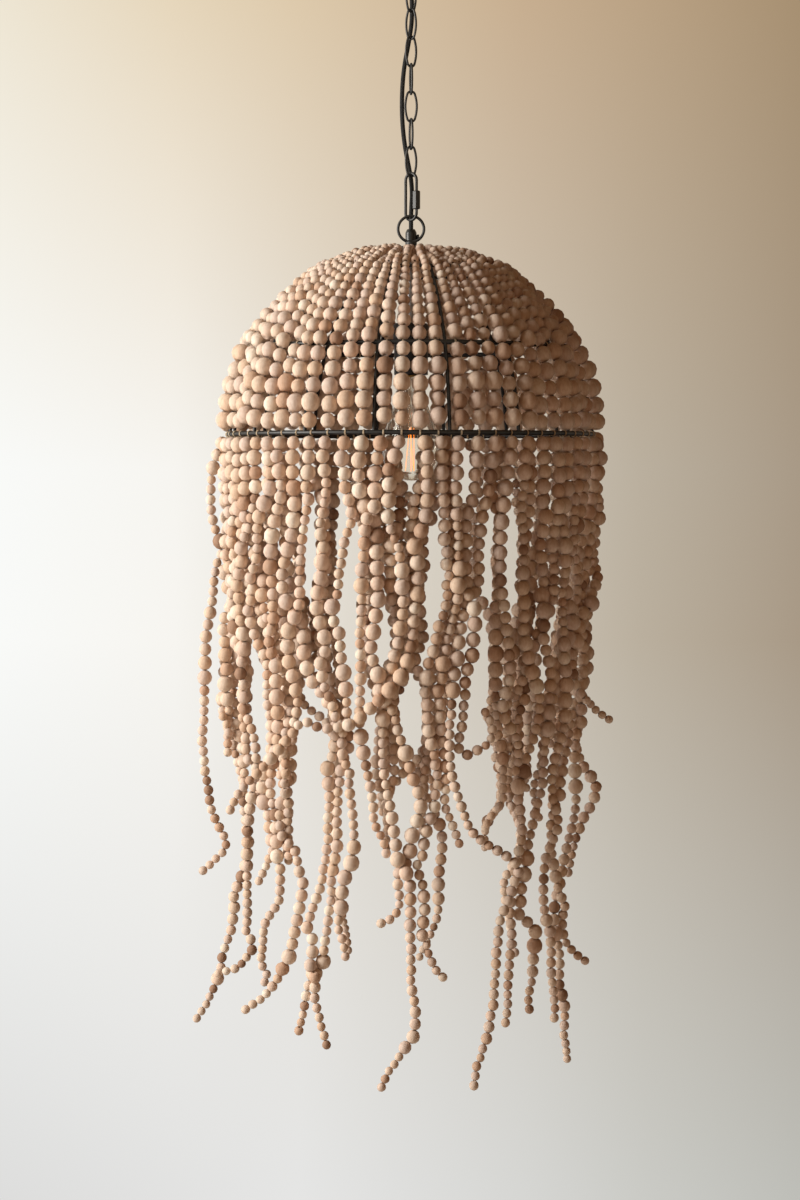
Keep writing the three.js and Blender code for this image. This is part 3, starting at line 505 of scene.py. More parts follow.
def joined_mesh(name, parts, material, body, nodes, sharp=35, tidy=True):
    """One piece from sets of points, quads and ends, riding on a body."""
    points, quads, ends, start = [], [], [], 0
    for part_points, part_quads, part_ends in parts:
        points.append(part_points)
        quads.append(part_quads + start)
        ends += [np.asarray(end) + start for end in part_ends]
        start += len(part_points)
    piece = new_piece(name, np.concatenate(points), np.concatenate(quads), ends, material)
    if tidy:
        tidy_mesh(piece, sharp)
    settle(piece, body, nodes)


def settle(piece, body, nodes):
    """The piece rides on its body and stands for its nodes, which are hidden."""
    if nodes:
        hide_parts(*nodes)
    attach(piece, body)


def smooth_path(points, step):
    """A curve through the points, resampled evenly: a Catmull-Rom spline, one cubic between two points."""
    points = np.asarray(points, float)
    padded = np.concatenate([[2 * points[0] - points[1]], points, [2 * points[-1] - points[-2]]])
    t = np.linspace(0, 1, 12, endpoint=False)[:, None]
    cubics = []
    for a, b, c, d in zip(padded, padded[1:], padded[2:], padded[3:]):
        square = (2 * a - 5 * b + 4 * c - d) * t**2
        cube = (3 * b - a - 3 * c + d) * t**3
        cubics.append(0.5 * (2 * b + (c - a) * t + square + cube))
    return evenly(np.concatenate([*cubics, points[-1:]]), step)


def evenly(path, step):
    """The path's points at even steps along it."""
    run = run_along(path)
    count = max(int(round(run[-1] / step)), 2) + 1
    return sampled(path, run, np.linspace(0, run[-1], count))


# Camera


def place_camera():
    """An 85 mm lens a little below the lower hoop, 3.19 m away, tilted down a little, on a frame of
    24 by 36 mm."""
    lens = bpy.data.cameras.new("camera")
    lens.lens = 85
    lens.sensor_fit = "VERTICAL"
    lens.sensor_height = 36
    lens.sensor_width = 24
    eye = bpy.data.objects.new("camera", lens)
    bpy.context.collection.objects.link(eye)
    eye.location = (EYE_ASIDE * MM, -EYE_DISTANCE * MM, (HOOP_LEVEL - EYE_BELOW) * MM)
    eye.rotation_euler = (math.radians(90 - EYE_TILT), 0, 0)
    bpy.context.scene.camera = eye


place_camera()


# Cord


def cord_stretches():
    """The cord from the canopy to the lamp holder, in stretches from link to link."""
    cap, ring, canopy = (CORD_ROUTE[i][2] / MM for i in (0, 2, -1))
    links = range(len(LINK_TURNS))
    levels = [canopy, *[CHAIN_TOP - CHAIN_PITCH * i for i in links], QUICK_LINK_LEVEL, ring, cap]
    bodies = ["mounting", *[f"chain_link_{i + 1}" for i in links], "quick_link", "shade", "shade"]
    fine_step, step, sides = 1.2, 2.4, 12
    line = smooth_path(np.array(CORD_ROUTE)[::-1] / MM, fine_step)
    around = np.arange(sides) / sides * np.pi * CORD_DIAMETER / MM
    for i in range(len(levels) - 1):
        top, foot = levels[i], levels[i + 1]
        inside = line[(line[:, 2] <= top + 1e-6) & (line[:, 2] >= foot - 1e-6)]
        ends = sampled(line, -line[:, 2], [-top, -foot])
        path = evenly(np.concatenate([ends[:1], inside[1:-1], ends[1:]]), step)
        run = run_along(path)
        uv = np.stack(np.broadcast_arrays(run[:, None], around[None]), -1).reshape(-1, 2) / BRAID_UNIT
        points, quads, caps = bent_tube(path, CORD_DIAMETER / 2 / MM, sides)
        piece = new_piece(f"lamp_cord_{i + 1:02d}", points, quads, caps, BRAID, uv=uv)
        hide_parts("lamp_cord")
        a, b = bodies[i], bodies[i + 1]
        if a == b:
            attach(piece, a)
        else:
            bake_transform(piece)


cord_stretches()


# Chain and fittings


def upright_wire(x, z, wire, sides, turn, middle, closed=False):
    """Wire bent in an upright plane, which is turned about the chain and put at its level."""
    swing = math.radians(turn)
    path = np.stack([x * math.cos(swing), x * math.sin(swing), z + middle], -1)
    return bent_tube(path, wire / 2, sides, closed, (-math.sin(swing), math.cos(swing), 0))


def oval_link(turn, middle):
    """A link of four arcs: two tight ends and two long sides, bent from 2.6 mm wire."""
    wire, length, width, end_radius = 2.6, 33.6, 12.8, 4.4
    rise = length / 2 - end_radius
    half = width / 2
    side_radius = (rise**2 + half**2 - end_radius**2) / (2 * (half - end_radius))
    start = math.atan2(rise, side_radius - half)
    end_turn = np.linspace(start, math.pi - start, 14)
    side_turn = np.linspace(start, -start, 16)[1:-1]
    x, z = [], []
    for sign in (1, -1):
        x += [sign * end_radius * np.cos(end_turn), -sign * (side_radius * (np.cos(side_turn) - 1) + half)]
        z += [sign * (rise + end_radius * np.sin(end_turn)), sign * side_radius * np.sin(side_turn)]
    return upright_wire(np.concatenate(x), np.concatenate(z), wire, 12, turn, middle, closed=True)


def chain():
    """Eight welded links, each turned about the chain."""
    for i, turn in enumerate(LINK_TURNS):
        name = f"chain_link_{i + 1}"
        link = oval_link(turn, CHAIN_TOP - CHAIN_PITCH * i)
        joined_mesh(f"oval_{name}", [link], IRON, name, [name], 60)


def hexagon(flat, turn):
    """Radii of a hexagon at the given angles: the distance of its sides from the middle, over the
    cosine of the angle from the nearest side's middle."""
    return flat / np.cos(turn % (math.pi / 3) - math.pi / 6)


def stacked_rings(rings, turn, centre=(0, 0), swing=0):
    """A body from rings of given radii and levels round an upright line, the last joined to the first."""
    x = [centre[0] + radii * np.cos(turn + swing) for radii, level in rings]
    y = [centre[1] + radii * np.sin(turn + swing) for radii, level in rings]
    z = [np.full(len(turn), level) for radii, level in rings]
    points = np.stack([x, y, z], -1).reshape(-1, 3)
    return points, grid_quads(len(rings), len(turn), wrap_rows=True), []


def quick_link():
    """A link with straight sides and round ends, and the long nut that closes it."""
    wire, inner_length, inner_width, link_turn = 3.4, 48.7, 12.6, -41
    # The opening on the right side: its middle from the link's, and its height
    rise, opening = -4, 2
    radius = (inner_width + wire) / 2
    straight = (inner_length - inner_width) / 2
    bend = np.linspace(0, math.pi, 15)
    x = np.concatenate([[radius], radius * np.cos(bend), [-radius], -radius * np.cos(bend), [radius]])
    lower, upper = -straight - radius * np.sin(bend), straight + radius * np.sin(bend)
    z = np.concatenate([[rise - opening / 2], lower, [0], upper, [rise + opening / 2]])
    link = upright_wire(x, z, wire, 14, link_turn, QUICK_LINK_LEVEL)
    joined_mesh("quick_link_wire", [link], IRON, "quick_link", ["quick_link"], 50)
    turn = np.arange(24) * 2 * np.pi / 24
    bore, full, eased_in = wire / 2 + 0.3, hexagon(3.8, turn), hexagon(3.8 * 0.84, turn)
    foot, top = QUICK_LINK_LEVEL + rise - 10.25, QUICK_LINK_LEVEL + rise + 10.25
    rings = [(bore, foot), (eased_in, foot), (full, foot + 0.85)]
    rings += [(full, top - 0.85), (eased_in, top), (bore, top)]
    swing = math.radians(link_turn)
    sleeve = stacked_rings(rings, turn, (radius * math.cos(swing), radius * math.sin(swing)), swing)
    nodes = ["quick_link_nut"]
    joined_mesh("quick_link_sleeve", [sleeve], IRON, "quick_link_nut", nodes, 25)


def upright_ring(radius, wire, level, segments=48, sides=14):
    """A ring of wire that stands across the view."""
    turn = np.arange(segments) * 2 * np.pi / segments
    path = np.stack([radius * np.sin(turn), np.zeros(segments), level + radius * np.cos(turn)], -1)
    return bent_tube(path, wire / 2, sides, closed=True)


def eased_edge(outline, cut=0.4):
    """The outline with each corner between two long sides cut a little, so that edges catch the light."""
    outline = np.asarray(outline, float)
    result = []
    for i, corner in enumerate(outline):
        back, ahead = outline[i - 1] - corner, outline[(i + 1) % len(outline)] - corner
        back_run, ahead_run = np.linalg.norm(back), np.linalg.norm(ahead)
        if corner[0] == 0 or min(back_run, ahead_run) < 2.2 * cut:
            result.append(corner)
        else:
            result.append(corner + back / back_run * cut)
            result.append(corner + ahead / ahead_run * cut)
    return np.array(result)


def fittings():
    """The canopy, its loop, the hanging ring, the cord grip, the hub, the tube and the nut."""
    outside = [(5.3, -30), (46, -30), (54, -27.2), (59.6, -21.4), (62, -14), (62, -0.3)]
    inside = [(60.4, -0.3), (60.4, -14), (58, -20.8), (52.8, -25.8), (46, -28.4), (5.3, -28.4)]
    canopy = turned(eased_edge(outside + inside, 0.5), 96)
    joined_mesh("canopy_cup", [canopy], IRON, "mounting", ["ceiling_canopy"], 40)
    collar = eased_edge([(5.3, -42.3), (11, -42.3), (11, -30.3), (5.3, -30.3)], 0.8)
    plug = [(0, -42.4), (5.2, -42.4), (5.2, -39), (0, -39)]
    loop = [turned(collar), upright_ring(radius=11.8, wire=3.6, level=-53.5), turned(plug)]
    joined_mesh("canopy_eye", loop, IRON, "mounting", ["canopy_loop"])
    boss = eased_edge(np.add([(0, 0), (6.5, 0), (6.5, 6), (0, 6)], (0, SEAT_LEVEL)), 0.6)
    eye = [upright_ring(radius=14.5, wire=3.2, level=-367.3), turned(boss)]
    joined_mesh("hanging_eye", eye, IRON, "shade", ["hanging_ring"])
    outline = [(2.8, 0.5), (2.8, 0), (6.3, 0), (6.3, 17), (4.4, 21), (2.8, 21)]
    grip = turned(eased_edge(np.add(outline, (0, SEAT_LEVEL)), 0.5), 48, (0, GRIP_BEHIND))
    joined_mesh("cord_grip_body", [grip], PLASTIC, "shade", ["cord_grip"])
    screw()
    hub = turned(eased_edge([(0, -390.7), (23, -390.7), (23, -387.7), (0, -387.7)], 0.7), 64)
    joined_mesh("hub_plate", [hub], IRON, "shade", ["top_hub"])
    # A fine thread from the tube's foot to just below the hub
    foot, thread_end, top, bore = -474.7, -392, -382.7, 3.2
    level = np.arange(foot, thread_end, 0.5)
    thread = np.stack([4.55 + 0.25 * np.abs(np.mod(level, 1.0) * 2 - 1), level], -1)
    rod = turned(np.concatenate([[(bore, foot)], thread, [(4.8, top), (bore, top)]]), 32)
    joined_mesh("threaded_rod", [rod], ZINC, "shade", ["threaded_tube"], 60)
    hexagon_nut()


def screw():
    """The grip's clamp screw, a shank and a round head, laid across the view."""
    outline = eased_edge([(0, -2), (2.2, -2), (2.2, 0), (3.3, 0), (3.3, 2.6), (0, 2.6)], 0.4)
    points, quads, ends = turned(outline, 28)
    x, y, z = points.T
    points = np.stack([6.6 + z, GRIP_BEHIND + y, SEAT_LEVEL + 11.9 - x], -1)
    parts = [(points, quads, ends)]
    joined_mesh("grip_screw_knob", parts, PLASTIC, "shade", ["grip_screw"])


def hexagon_nut():
    """The nut under the crown: a hexagon with chamfered corners and a round bore."""
    turn = np.arange(48) * 2 * np.pi / 48
    foot, top, bore, flat, corner, chamfer = -398.8, -393.8, 5.1, 7, 7.9, 0.5
    sides = np.minimum(hexagon(flat, turn), corner)
    rings = [(bore, foot), (flat, foot), (sides, foot + chamfer)]
    rings += [(sides, top - chamfer), (flat, top), (bore, top)]
    joined_mesh("crown_nut", [stacked_rings(rings, turn)], ZINC, "shade", ["hex_nut"], 25)


def lamp_holder():
    """The holder's cap and shell, the bulb's screw cap, glass and filament."""
    cap_top = -472.5
    outline = [(5.1, -2.2), (15.6, -2.2), (17.8, -4.4), (17.8, -18)]
    outline += [(20, -18), (20, -2.2), (17.8, 0), (5.1, 0)]
    cap = turned(eased_edge(np.add(outline, (0, cap_top)), 0.5), 56)
    joined_mesh("holder_cap", [cap], PLASTIC, "shade", ["socket_cap"])
    top, inside, foot, rim = -484.5, -507.2, -530.5, cap_top - 18.3
    shell = [(0, inside), (13.4, inside), (13.4, foot), (19, foot)]
    shell += [(19, rim), (17.4, rim), (17.4, top), (0, top)]
    shell = turned(eased_edge(shell, 0.6), 56)
    joined_mesh("holder_shell", [shell], PLASTIC, "shade", ["socket_shell"])
    base_top, base_face, pitch = -507.5, -532.5, 3.6
    level = np.arange(base_face, base_top - 8, 0.35)
    thread = np.stack([12.45 + 0.5 * np.sin((level - base_face) * 2 * np.pi / pitch), level], -1)
    crown = [(0, base_top), (4.4, base_top - 0.3), (7.6, base_top - 2), (11.6, base_top - 6.6)]
    lining = [(11.5, base_face), (11.5, base_top - 9), (7, base_top - 4), (0, base_top - 3)]
    base = turned(np.concatenate([crown, thread[::-1], lining]), 56)
    joined_mesh("bulb_screw_cap", [base], BRASS, "bulb", ["bulb_base"], 60)
    pear, wall = pear_outline(), 0.9
    outer = np.stack([pear[:, 0], GLASS_TOP - GLASS_LENGTH * pear[:, 1]], -1)
    inner = np.stack([np.maximum(pear[:, 0] - wall, 0), GLASS_TOP - (GLASS_LENGTH - wall) * pear[:, 1]], -1)
    glass = turned(np.concatenate([inner[::-1], outer]), 64)
    joined_mesh("bulb_pear", [glass], GLASS, "bulb", ["bulb_glass"], 70)
    filament()


def pear_outline():
    """A pear bulb: radii at shares of its length, eased by a spline, and closed by a round crown."""
    shares = (0, 0.1, 0.25, 0.45, 0.65, 0.8, 0.91)
    radii = (12.4, 12.8, 17.9, 26.9, 32.0, 31.2, 26.1)
    stretch = (1, GLASS_LENGTH)
    side = smooth_path(np.stack([radii, shares], -1) * stretch, 2.0) / stretch
    radius, share = side[-1]
    turn = np.linspace(0, math.pi / 2, 12)[1:]
    crown = np.stack([radius * np.cos(turn), share + (1 - share) * np.sin(turn)], -1)
    crown[-1] = (0, 1)
    return np.concatenate([side, crown])


def filament():
    """A glass stem with a cage of filament that runs up and down round a mast."""
    stem_foot = GLASS_TOP - 56
    stem = turned(eased_edge([(0, -520), (3.4, -520), (3.4, stem_foot), (0, stem_foot)], 0.8), 24)
    flare = turned([(3.3, -532.9), (11.1, -532.9), (11.1, -534.2), (3.3, -536)], 32)
    joined_mesh("bulb_stem", [stem, flare], GLASS, "bulb", ["bulb_filament"])
    height, loops = 50, 3
    corners = []
    for step in range(loops * 2 + 1):
        angle = step / (loops * 2) * 2 * math.pi
        reach, level = (6.4, stem_foot - height + 1) if step % 2 else (3.2, stem_foot - 1)
        corners.append((reach * math.cos(angle), reach * math.sin(angle), level))
    cage = evenly(np.array(corners), 1.5)
    mast = np.array([(0, 0, stem_foot), (0.01, 0, stem_foot - height / 2), (0, 0, stem_foot - height)])
    wires = [bent_tube(cage, 0.24, 8, across=(0.31, 0.17, 0.05)), bent_tube(mast, 0.22, 8)]
    joined_mesh("bulb_carbon_wire", wires, GLOW, "bulb", ["bulb_filament"])


def ceiling_fixing():
    """The plate and its screws, which the canopy covers, stay as they are in the model, in zinc."""
    for name in ("ceiling_plate", "ceiling_screw_left", "ceiling_screw_right"):
        node = bpy.data.objects.get(name)
        if node is not None:
            node.data.materials.clear()
            node.data.materials.append(ZINC)


chain()
quick_link()
fittings()
lamp_holder()
ceiling_fixing()


# Dome frame


def span_points(span, share):
    """A quadratic curve between two hoops that bulges outwards by its given height."""
    start, end = SPAN_ENDS[span], SPAN_ENDS[span + 1]
    along = (end - start) / np.linalg.norm(end - start)
    handle = (start + end) / 2 + np.array([-along[1], along[0]]) * 2 * BULGES[span]
    t = np.asarray(share, float)[..., None]
    return (1 - t) ** 2 * start + 2 * t * (1 - t) * handle + t**2 * end


def direction(angle):
    """Plan direction at an angle in degrees from the side that faces the viewer."""
    turn = np.radians(angle)
    return np.stack([np.sin(turn), -np.cos(turn), np.zeros_like(turn)], -1)


def dome_frame():
    """Three hoops, sixteen ribs and the crown: wire bent and welded."""
    parts = []
    turn = np.arange(128) * 2 * np.pi / 128
    for (radius, rise), wire in HOOPS:
        level = np.full(128, HOOP_LEVEL + rise)
        path = np.stack([radius * np.sin(turn), -radius * np.cos(turn), level], -1)
        parts.append(bent_tube(path, wire / 2, 10, closed=True, across=(0, 0, 1)))
    outline = np.concatenate([evenly(span_points(span, np.linspace(0, 1, 30)), 9) for span in range(3)])
    outline = distinct(outline, 0.5)
    for i in range(RIB_COUNT):
        angle = (i + 0.5) * BAY_ANGLE
        path = outline[:, :1] * direction(angle) + UP * (outline[:, 1:] + HOOP_LEVEL)
        parts.append(bent_tube(path, RIB_WIRE / 2, 8, across=direction(angle + 90)))
    crown = eased_edge([(5.1, -393.5), (27, -393.5), (27, -391), (5.1, -391)], 0.5)
    parts.append(turned(crown, 64))
    joined_mesh("frame_of_hoops_and_ribs", parts, IRON, "shade", ["dome_frame"], 60)


dome_frame()


# Beads


def bead_form(sides=10):
    """A turned bead of radius one: a barrel with rounded shoulders, a drilled hole at each end, and a mask
    of the points round each hole, which carry painted shade.
    """
    upper = [(0.14, 0.6), (0.26, 0.975), (0.67, 0.75), (0.97, 0.26)]
    outline = np.array(upper + [(radius, -rise) for radius, rise in upper[::-1]])
    turn = np.arange(sides) * 2 * np.pi / sides
    x = outline[:, :1] * np.cos(turn)
    y = outline[:, :1] * np.sin(turn)
    z = np.broadcast_to(outline[:, 1:], x.shape)
    points = np.stack([x, y, z], -1).reshape(-1, 3)
    quads = grid_quads(len(outline), sides)[:, ::-1]
    first = np.arange(sides)
    ends = [first, ((len(outline) - 1) * sides + first)[::-1]]
    # The points round each hole are marked for painted shade, a dark colour standing in for the shade
    # inside the hole
    painted_hole_shade = np.zeros((len(outline), sides))
    painted_hole_shade[[0, -1]] = 1
    return points, quads, ends, painted_hole_shade.ravel()


BEAD = bead_form()


def bead_mesh(name, centres, axes, radii, tints, body, nodes):
    """Beads on their strings: each is the turned form, scaled by its radius and one per cent slimmer,
    stood along its string."""
    points, quads, ends, painted_hole_shade = BEAD
    count = len(centres)
    axes = axes / np.linalg.norm(axes, axis=1)[:, None]
    other = np.where(np.abs(axes[:, 2:]) < 0.9, [[0.0, 0.0, 1.0]], [[1.0, 0.0, 0.0]])
    u = np.cross(other, axes)
    u /= np.linalg.norm(u, axis=1)[:, None]
    v = np.cross(axes, u)
    basis = np.stack([u, v, axes], 1)
    size = np.stack([radii * 0.99, radii * 0.99, radii], -1)
    verts = centres[:, None] + np.einsum("mk,nk,nkj->nmj", points, size, basis)
    shift = np.arange(count)[:, None, None] * len(points)
    all_quads = (quads[None] + shift).reshape(-1, 4)
    caps = (np.stack(ends)[None] + shift).reshape(-1, len(ends[0]))
    piece = new_piece(name, verts.reshape(-1, 3), all_quads, list(caps), WOOD)
    # Each bead's tone, and the painted shade of its holes as the attribute bore
    for label, values in (("tint", np.repeat(tints, len(points))), ("bore", np.tile(painted_hole_shade, count))):
        layer = piece.data.attributes.new(label, "FLOAT", "POINT")
        layer.data.foreach_set("value", values.astype(np.float32))
    settle(piece, body, nodes)


def relax(centres, radii, owner, rounds=60, hold=0.02):
    """Beads that meet are pushed apart, each string keeps its beads one against the next, and every
    bead is drawn a little towards its first place."""
    # Pairs that may meet, with this margin in millimetres, are looked up anew after so many rounds
    margin, lookup = 6, 6
    home = centres.copy()
    follows = np.where(owner[1:] == owner[:-1])[0]
    reach = radii[follows] + radii[follows + 1]
    first = np.concatenate([[True], owner[1:] != owner[:-1]])
    for step in range(rounds):
        if step % lookup == 0:
            squares = (centres**2).sum(1)
            apart = squares[:, None] + squares[None] - 2 * centres @ centres.T
            near = np.triu(apart < (radii[:, None] + radii[None] + margin) ** 2, 1)
            a, b = np.where(near)
            linked = (owner[a] == owner[b]) & (np.abs(a - b) < 2)
            a, b = a[~linked], b[~linked]
        gap = centres[b] - centres[a]
        distance = np.linalg.norm(gap, axis=1) + 1e-9
        # Two beads that meet move apart by half their overlap each, less where one meets several
        push = np.maximum(radii[a] + radii[b] - distance, 0)
        move = gap / distance[:, None] * (push * 0.5)[:, None]
        shift = np.zeros_like(centres)
        count = np.ones(len(centres))
        np.add.at(shift, a, -move)
        np.add.at(shift, b, move)
        np.add.at(count, a[push > 0], 0.5)
        np.add.at(count, b[push > 0], 0.5)
        centres = centres + shift / count[:, None]
        # Neighbours on a string go most of the way back to their distance, three times over
        for _ in range(3):
            link = centres[follows + 1] - centres[follows]
            run = np.linalg.norm(link, axis=1)
            fix = link / run[:, None] * ((run - reach * STRUNG) * 0.5)[:, None]
            shift = np.zeros_like(centres)
            np.add.at(shift, follows, fix)
            np.add.at(shift, follows + 1, -fix)
            centres = centres + shift * 0.8
        centres += (home - centres) * hold
        centres[first] = home[first]
    return centres


def bead_run(spans):
    """The line that a column follows over one span, or over more where it passes in front of a hoop:
    points, run, directions, outward normals, and how near each point is to a hoop that it passes."""
    # How many points on either side the directions are averaged over, and how far off a hoop is felt
    around, felt = 12, 15
    points = distinct(np.concatenate([span_points(span, np.linspace(0, 1, 200)) for span in spans]), 1e-6)
    tangent = np.gradient(points, axis=0)
    window = np.ones(2 * around + 1) / (2 * around + 1)
    for axis in (0, 1):
        tangent[:, axis] = np.convolve(np.pad(tangent[:, axis], around, "edge"), window, "valid")
    tangent /= np.linalg.norm(tangent, axis=1)[:, None]
    near = np.zeros(len(points))
    for span in spans[1:]:
        near += np.exp(-((np.linalg.norm(points - SPAN_ENDS[span], axis=1) / felt) ** 2))
    return points, run_along(points), tangent, np.stack([-tangent[:, 1], tangent[:, 0]], -1), near


def column_turn(column):
    """A column's place round the dome in degrees: four stand evenly in each bay, as near to its ribs as
    the gaps say."""
    bay, place = divmod(column, COLUMNS_PER_BAY)
    before, after = RIB_GAPS[bay - 1], RIB_GAPS[bay]
    width = BAY_ANGLE - (before + after) / 2
    return (bay - 0.5) * BAY_ANGLE + before / 2 + place * width / (COLUMNS_PER_BAY - 1)


def rib_clearance(column, sizes, reach):
    """How far a bead beside a rib has to stand out to clear it: the upright of a triangle whose long
    side is the two radii together."""
    bay, place = divmod(column, COLUMNS_PER_BAY)
    if place in (1, 2):
        return np.zeros(len(sizes))
    aside = reach * math.radians(RIB_GAPS[bay - 1 if place == 0 else bay] / 2)
    return np.sqrt(np.maximum(((sizes + RIB_WIRE) / 2) ** 2 - aside**2, 0))


def dome_column(column):
    """Centres, directions and radii of the beads of one column, from the crown to the lower hoop."""
    place = column % COLUMNS_PER_BAY
    centres, axes, radii, owners = [], [], [], []
    passes = rng.uniform(0, 1, 2) < PASS_ODDS
    groups = [[0]]
    for span in (1, 2):
        if passes[span - 1]:
            groups[-1].append(span)
        else:
            groups.append([span])
    for group in groups:
        points, run, tangent, normal, near = bead_run(group)
        # Each bead differs a little in size, and so does each column as a whole
        sizes = np.concatenate([SPAN_SIZES[span] for span in group])
        sizes = sizes * rng.uniform(0.86, 1.1, len(sizes)) * rng.uniform(0.96, 1.04)
        start = SPAN_STARTS[group[0]]
        end = run[-1] - SPAN_STOPS[group[-1]]
        places = start + (np.cumsum(sizes) - sizes / 2) / sizes.sum() * (end - start)
        places += rng.uniform(-2.6, 2.6) * np.sin((places - start) / (end - start) * np.pi)
        # The beads fill the run, but grow by no more than a twentieth for it
        sizes = sizes * min((end - start) / sizes.sum(), 1.05)
        at, out, way = (sampled(values, run, places) for values in (points, normal, tangent))
        reach = at[:, 0]
        # Beads lie unevenly deep, stand out where they pass a hoop, and clear the ribs beside them
        lift = BEAD_LIFT + rng.uniform(-1.2, 1.6, len(sizes)) + np.interp(places, run, near) * sizes * 0.42
        lift = np.maximum(lift, np.where(reach > 90, rib_clearance(column, sizes, reach), 0))
        drift = rng.uniform(-1.2, 1.2, len(sizes))
        # Where the columns crowd towards the crown, the second and fourth lie higher, and then the third
        crowded = np.clip((86 - reach) / 20, 0, 1)
        lift += crowded * (0, 2.6, 0, 2.6)[place]
        lift += np.clip((52 - reach) / 14, 0, 1) * (0, 0, 1.2, 0)[place]
        keep = reach > COLUMN_STARTS[place]
        drift += crowded * rng.uniform(-0.8, 0.8, len(sizes))
        spot = at + out * lift[:, None]
        plan = direction(column_turn(column) + np.degrees(drift / spot[:, 0]))
        centre = spot[:, :1] * plan + UP * (spot[:, 1:] + HOOP_LEVEL)
        axis = way[:, :1] * plan + UP * way[:, 1:]
        axis += rng.normal(0, 0.08, axis.shape)
        centres.append(centre[keep])
        axes.append(axis[keep])
        radii.append(sizes[keep] / 2)
        owners.append(np.full(keep.sum(), 3 * column + group[0]))
    return tuple(np.concatenate(part) for part in (centres, axes, radii, owners))


def dome_beads():
    """Sixteen bays of four columns each, settled against each other."""
    columns = [dome_column(column) for column in range(COLUMNS_PER_BAY * RIB_COUNT)]
    centres, axes, radii, owner = (np.concatenate(part) for part in zip(*columns))
    centres = relax(centres, radii, owner, rounds=24, hold=0.08)
    tints = np.clip(rng.normal(0.52, 0.24, len(radii)), 0, 1)
    for bay in range(RIB_COUNT):
        mine = owner // (3 * COLUMNS_PER_BAY) == bay
        beads = (part[mine] for part in (centres, axes, radii, tints))
        bead_mesh(f"dome_beads_{bay + 1:02d}", *beads, "shade", [f"bead_panel_{bay + 1:02d}"])


dome_beads()


# Skirt


def smooth(share):
    """Eases from zero to one: 3 t squared less 2 t cubed."""
    t = np.clip(share, 0, 1)
    return t * t * (3 - 2 * t)


def between(drops, start, end):
    """Eases from zero to one between two drops, or two shares of the drop."""
    return smooth((drops - start) / (end - start))


def eased(values, share):
    """A value that eases from station to station down a leg."""
    value = np.full_like(share, values[0], dtype=float)
    for i in range(1, len(values)):
        value += (values[i] - values[i - 1]) * between(share, STATIONS[i - 1], STATIONS[i])
    return value


def top_turn(leg, string):
    """A string's place round the hoop in degrees."""
    return leg * LEG_ANGLE + (string - (LEG_STRINGS - 1) / 2) * STRING_PITCH


def string_line(leg, string, drops, end):
    """A string's path: from its top on the hoop it eases into its place round the leg's middle line,
    which wanders down the leg, and its end swings out."""
    top = direction(np.full_like(drops, top_turn(leg, string))) * SKIRT_REACH
    share = drops / SKIRT_DROP
    turn = leg * LEG_ANGLE + eased(LEG_TURNS[leg], share)
    out, side = direction(turn), direction(turn + 90)
    middle = out * (SKIRT_REACH * eased(LEG_REACHES[leg], share))[:, None]
    twist = LEG_TWISTS[leg] * between(drops, GATHER_END, SKIRT_DROP)
    phase = np.radians(PHASES[string] + twist)
    spread = BUNDLE_RADIUS + (TAIL_BUNDLE - BUNDLE_RADIUS) * between(drops, GATHER_END, 2 * GATHER_END)
    middle += side * (spread * np.cos(phase))[:, None] + out * (spread * np.sin(phase))[:, None]
    gather = between(drops, GATHER_START, GATHER_END)[:, None]
    point = top * (1 - gather) + middle * gather
    tail = np.maximum(drops - (end - TAIL_LENGTH), 0) / TAIL_LENGTH
    point += side * (TAIL_SHARES[leg][string] * SKIRT_REACH * tail**2)[:, None]
    point[:, 2] = HOOP_LEVEL - drops
    return point


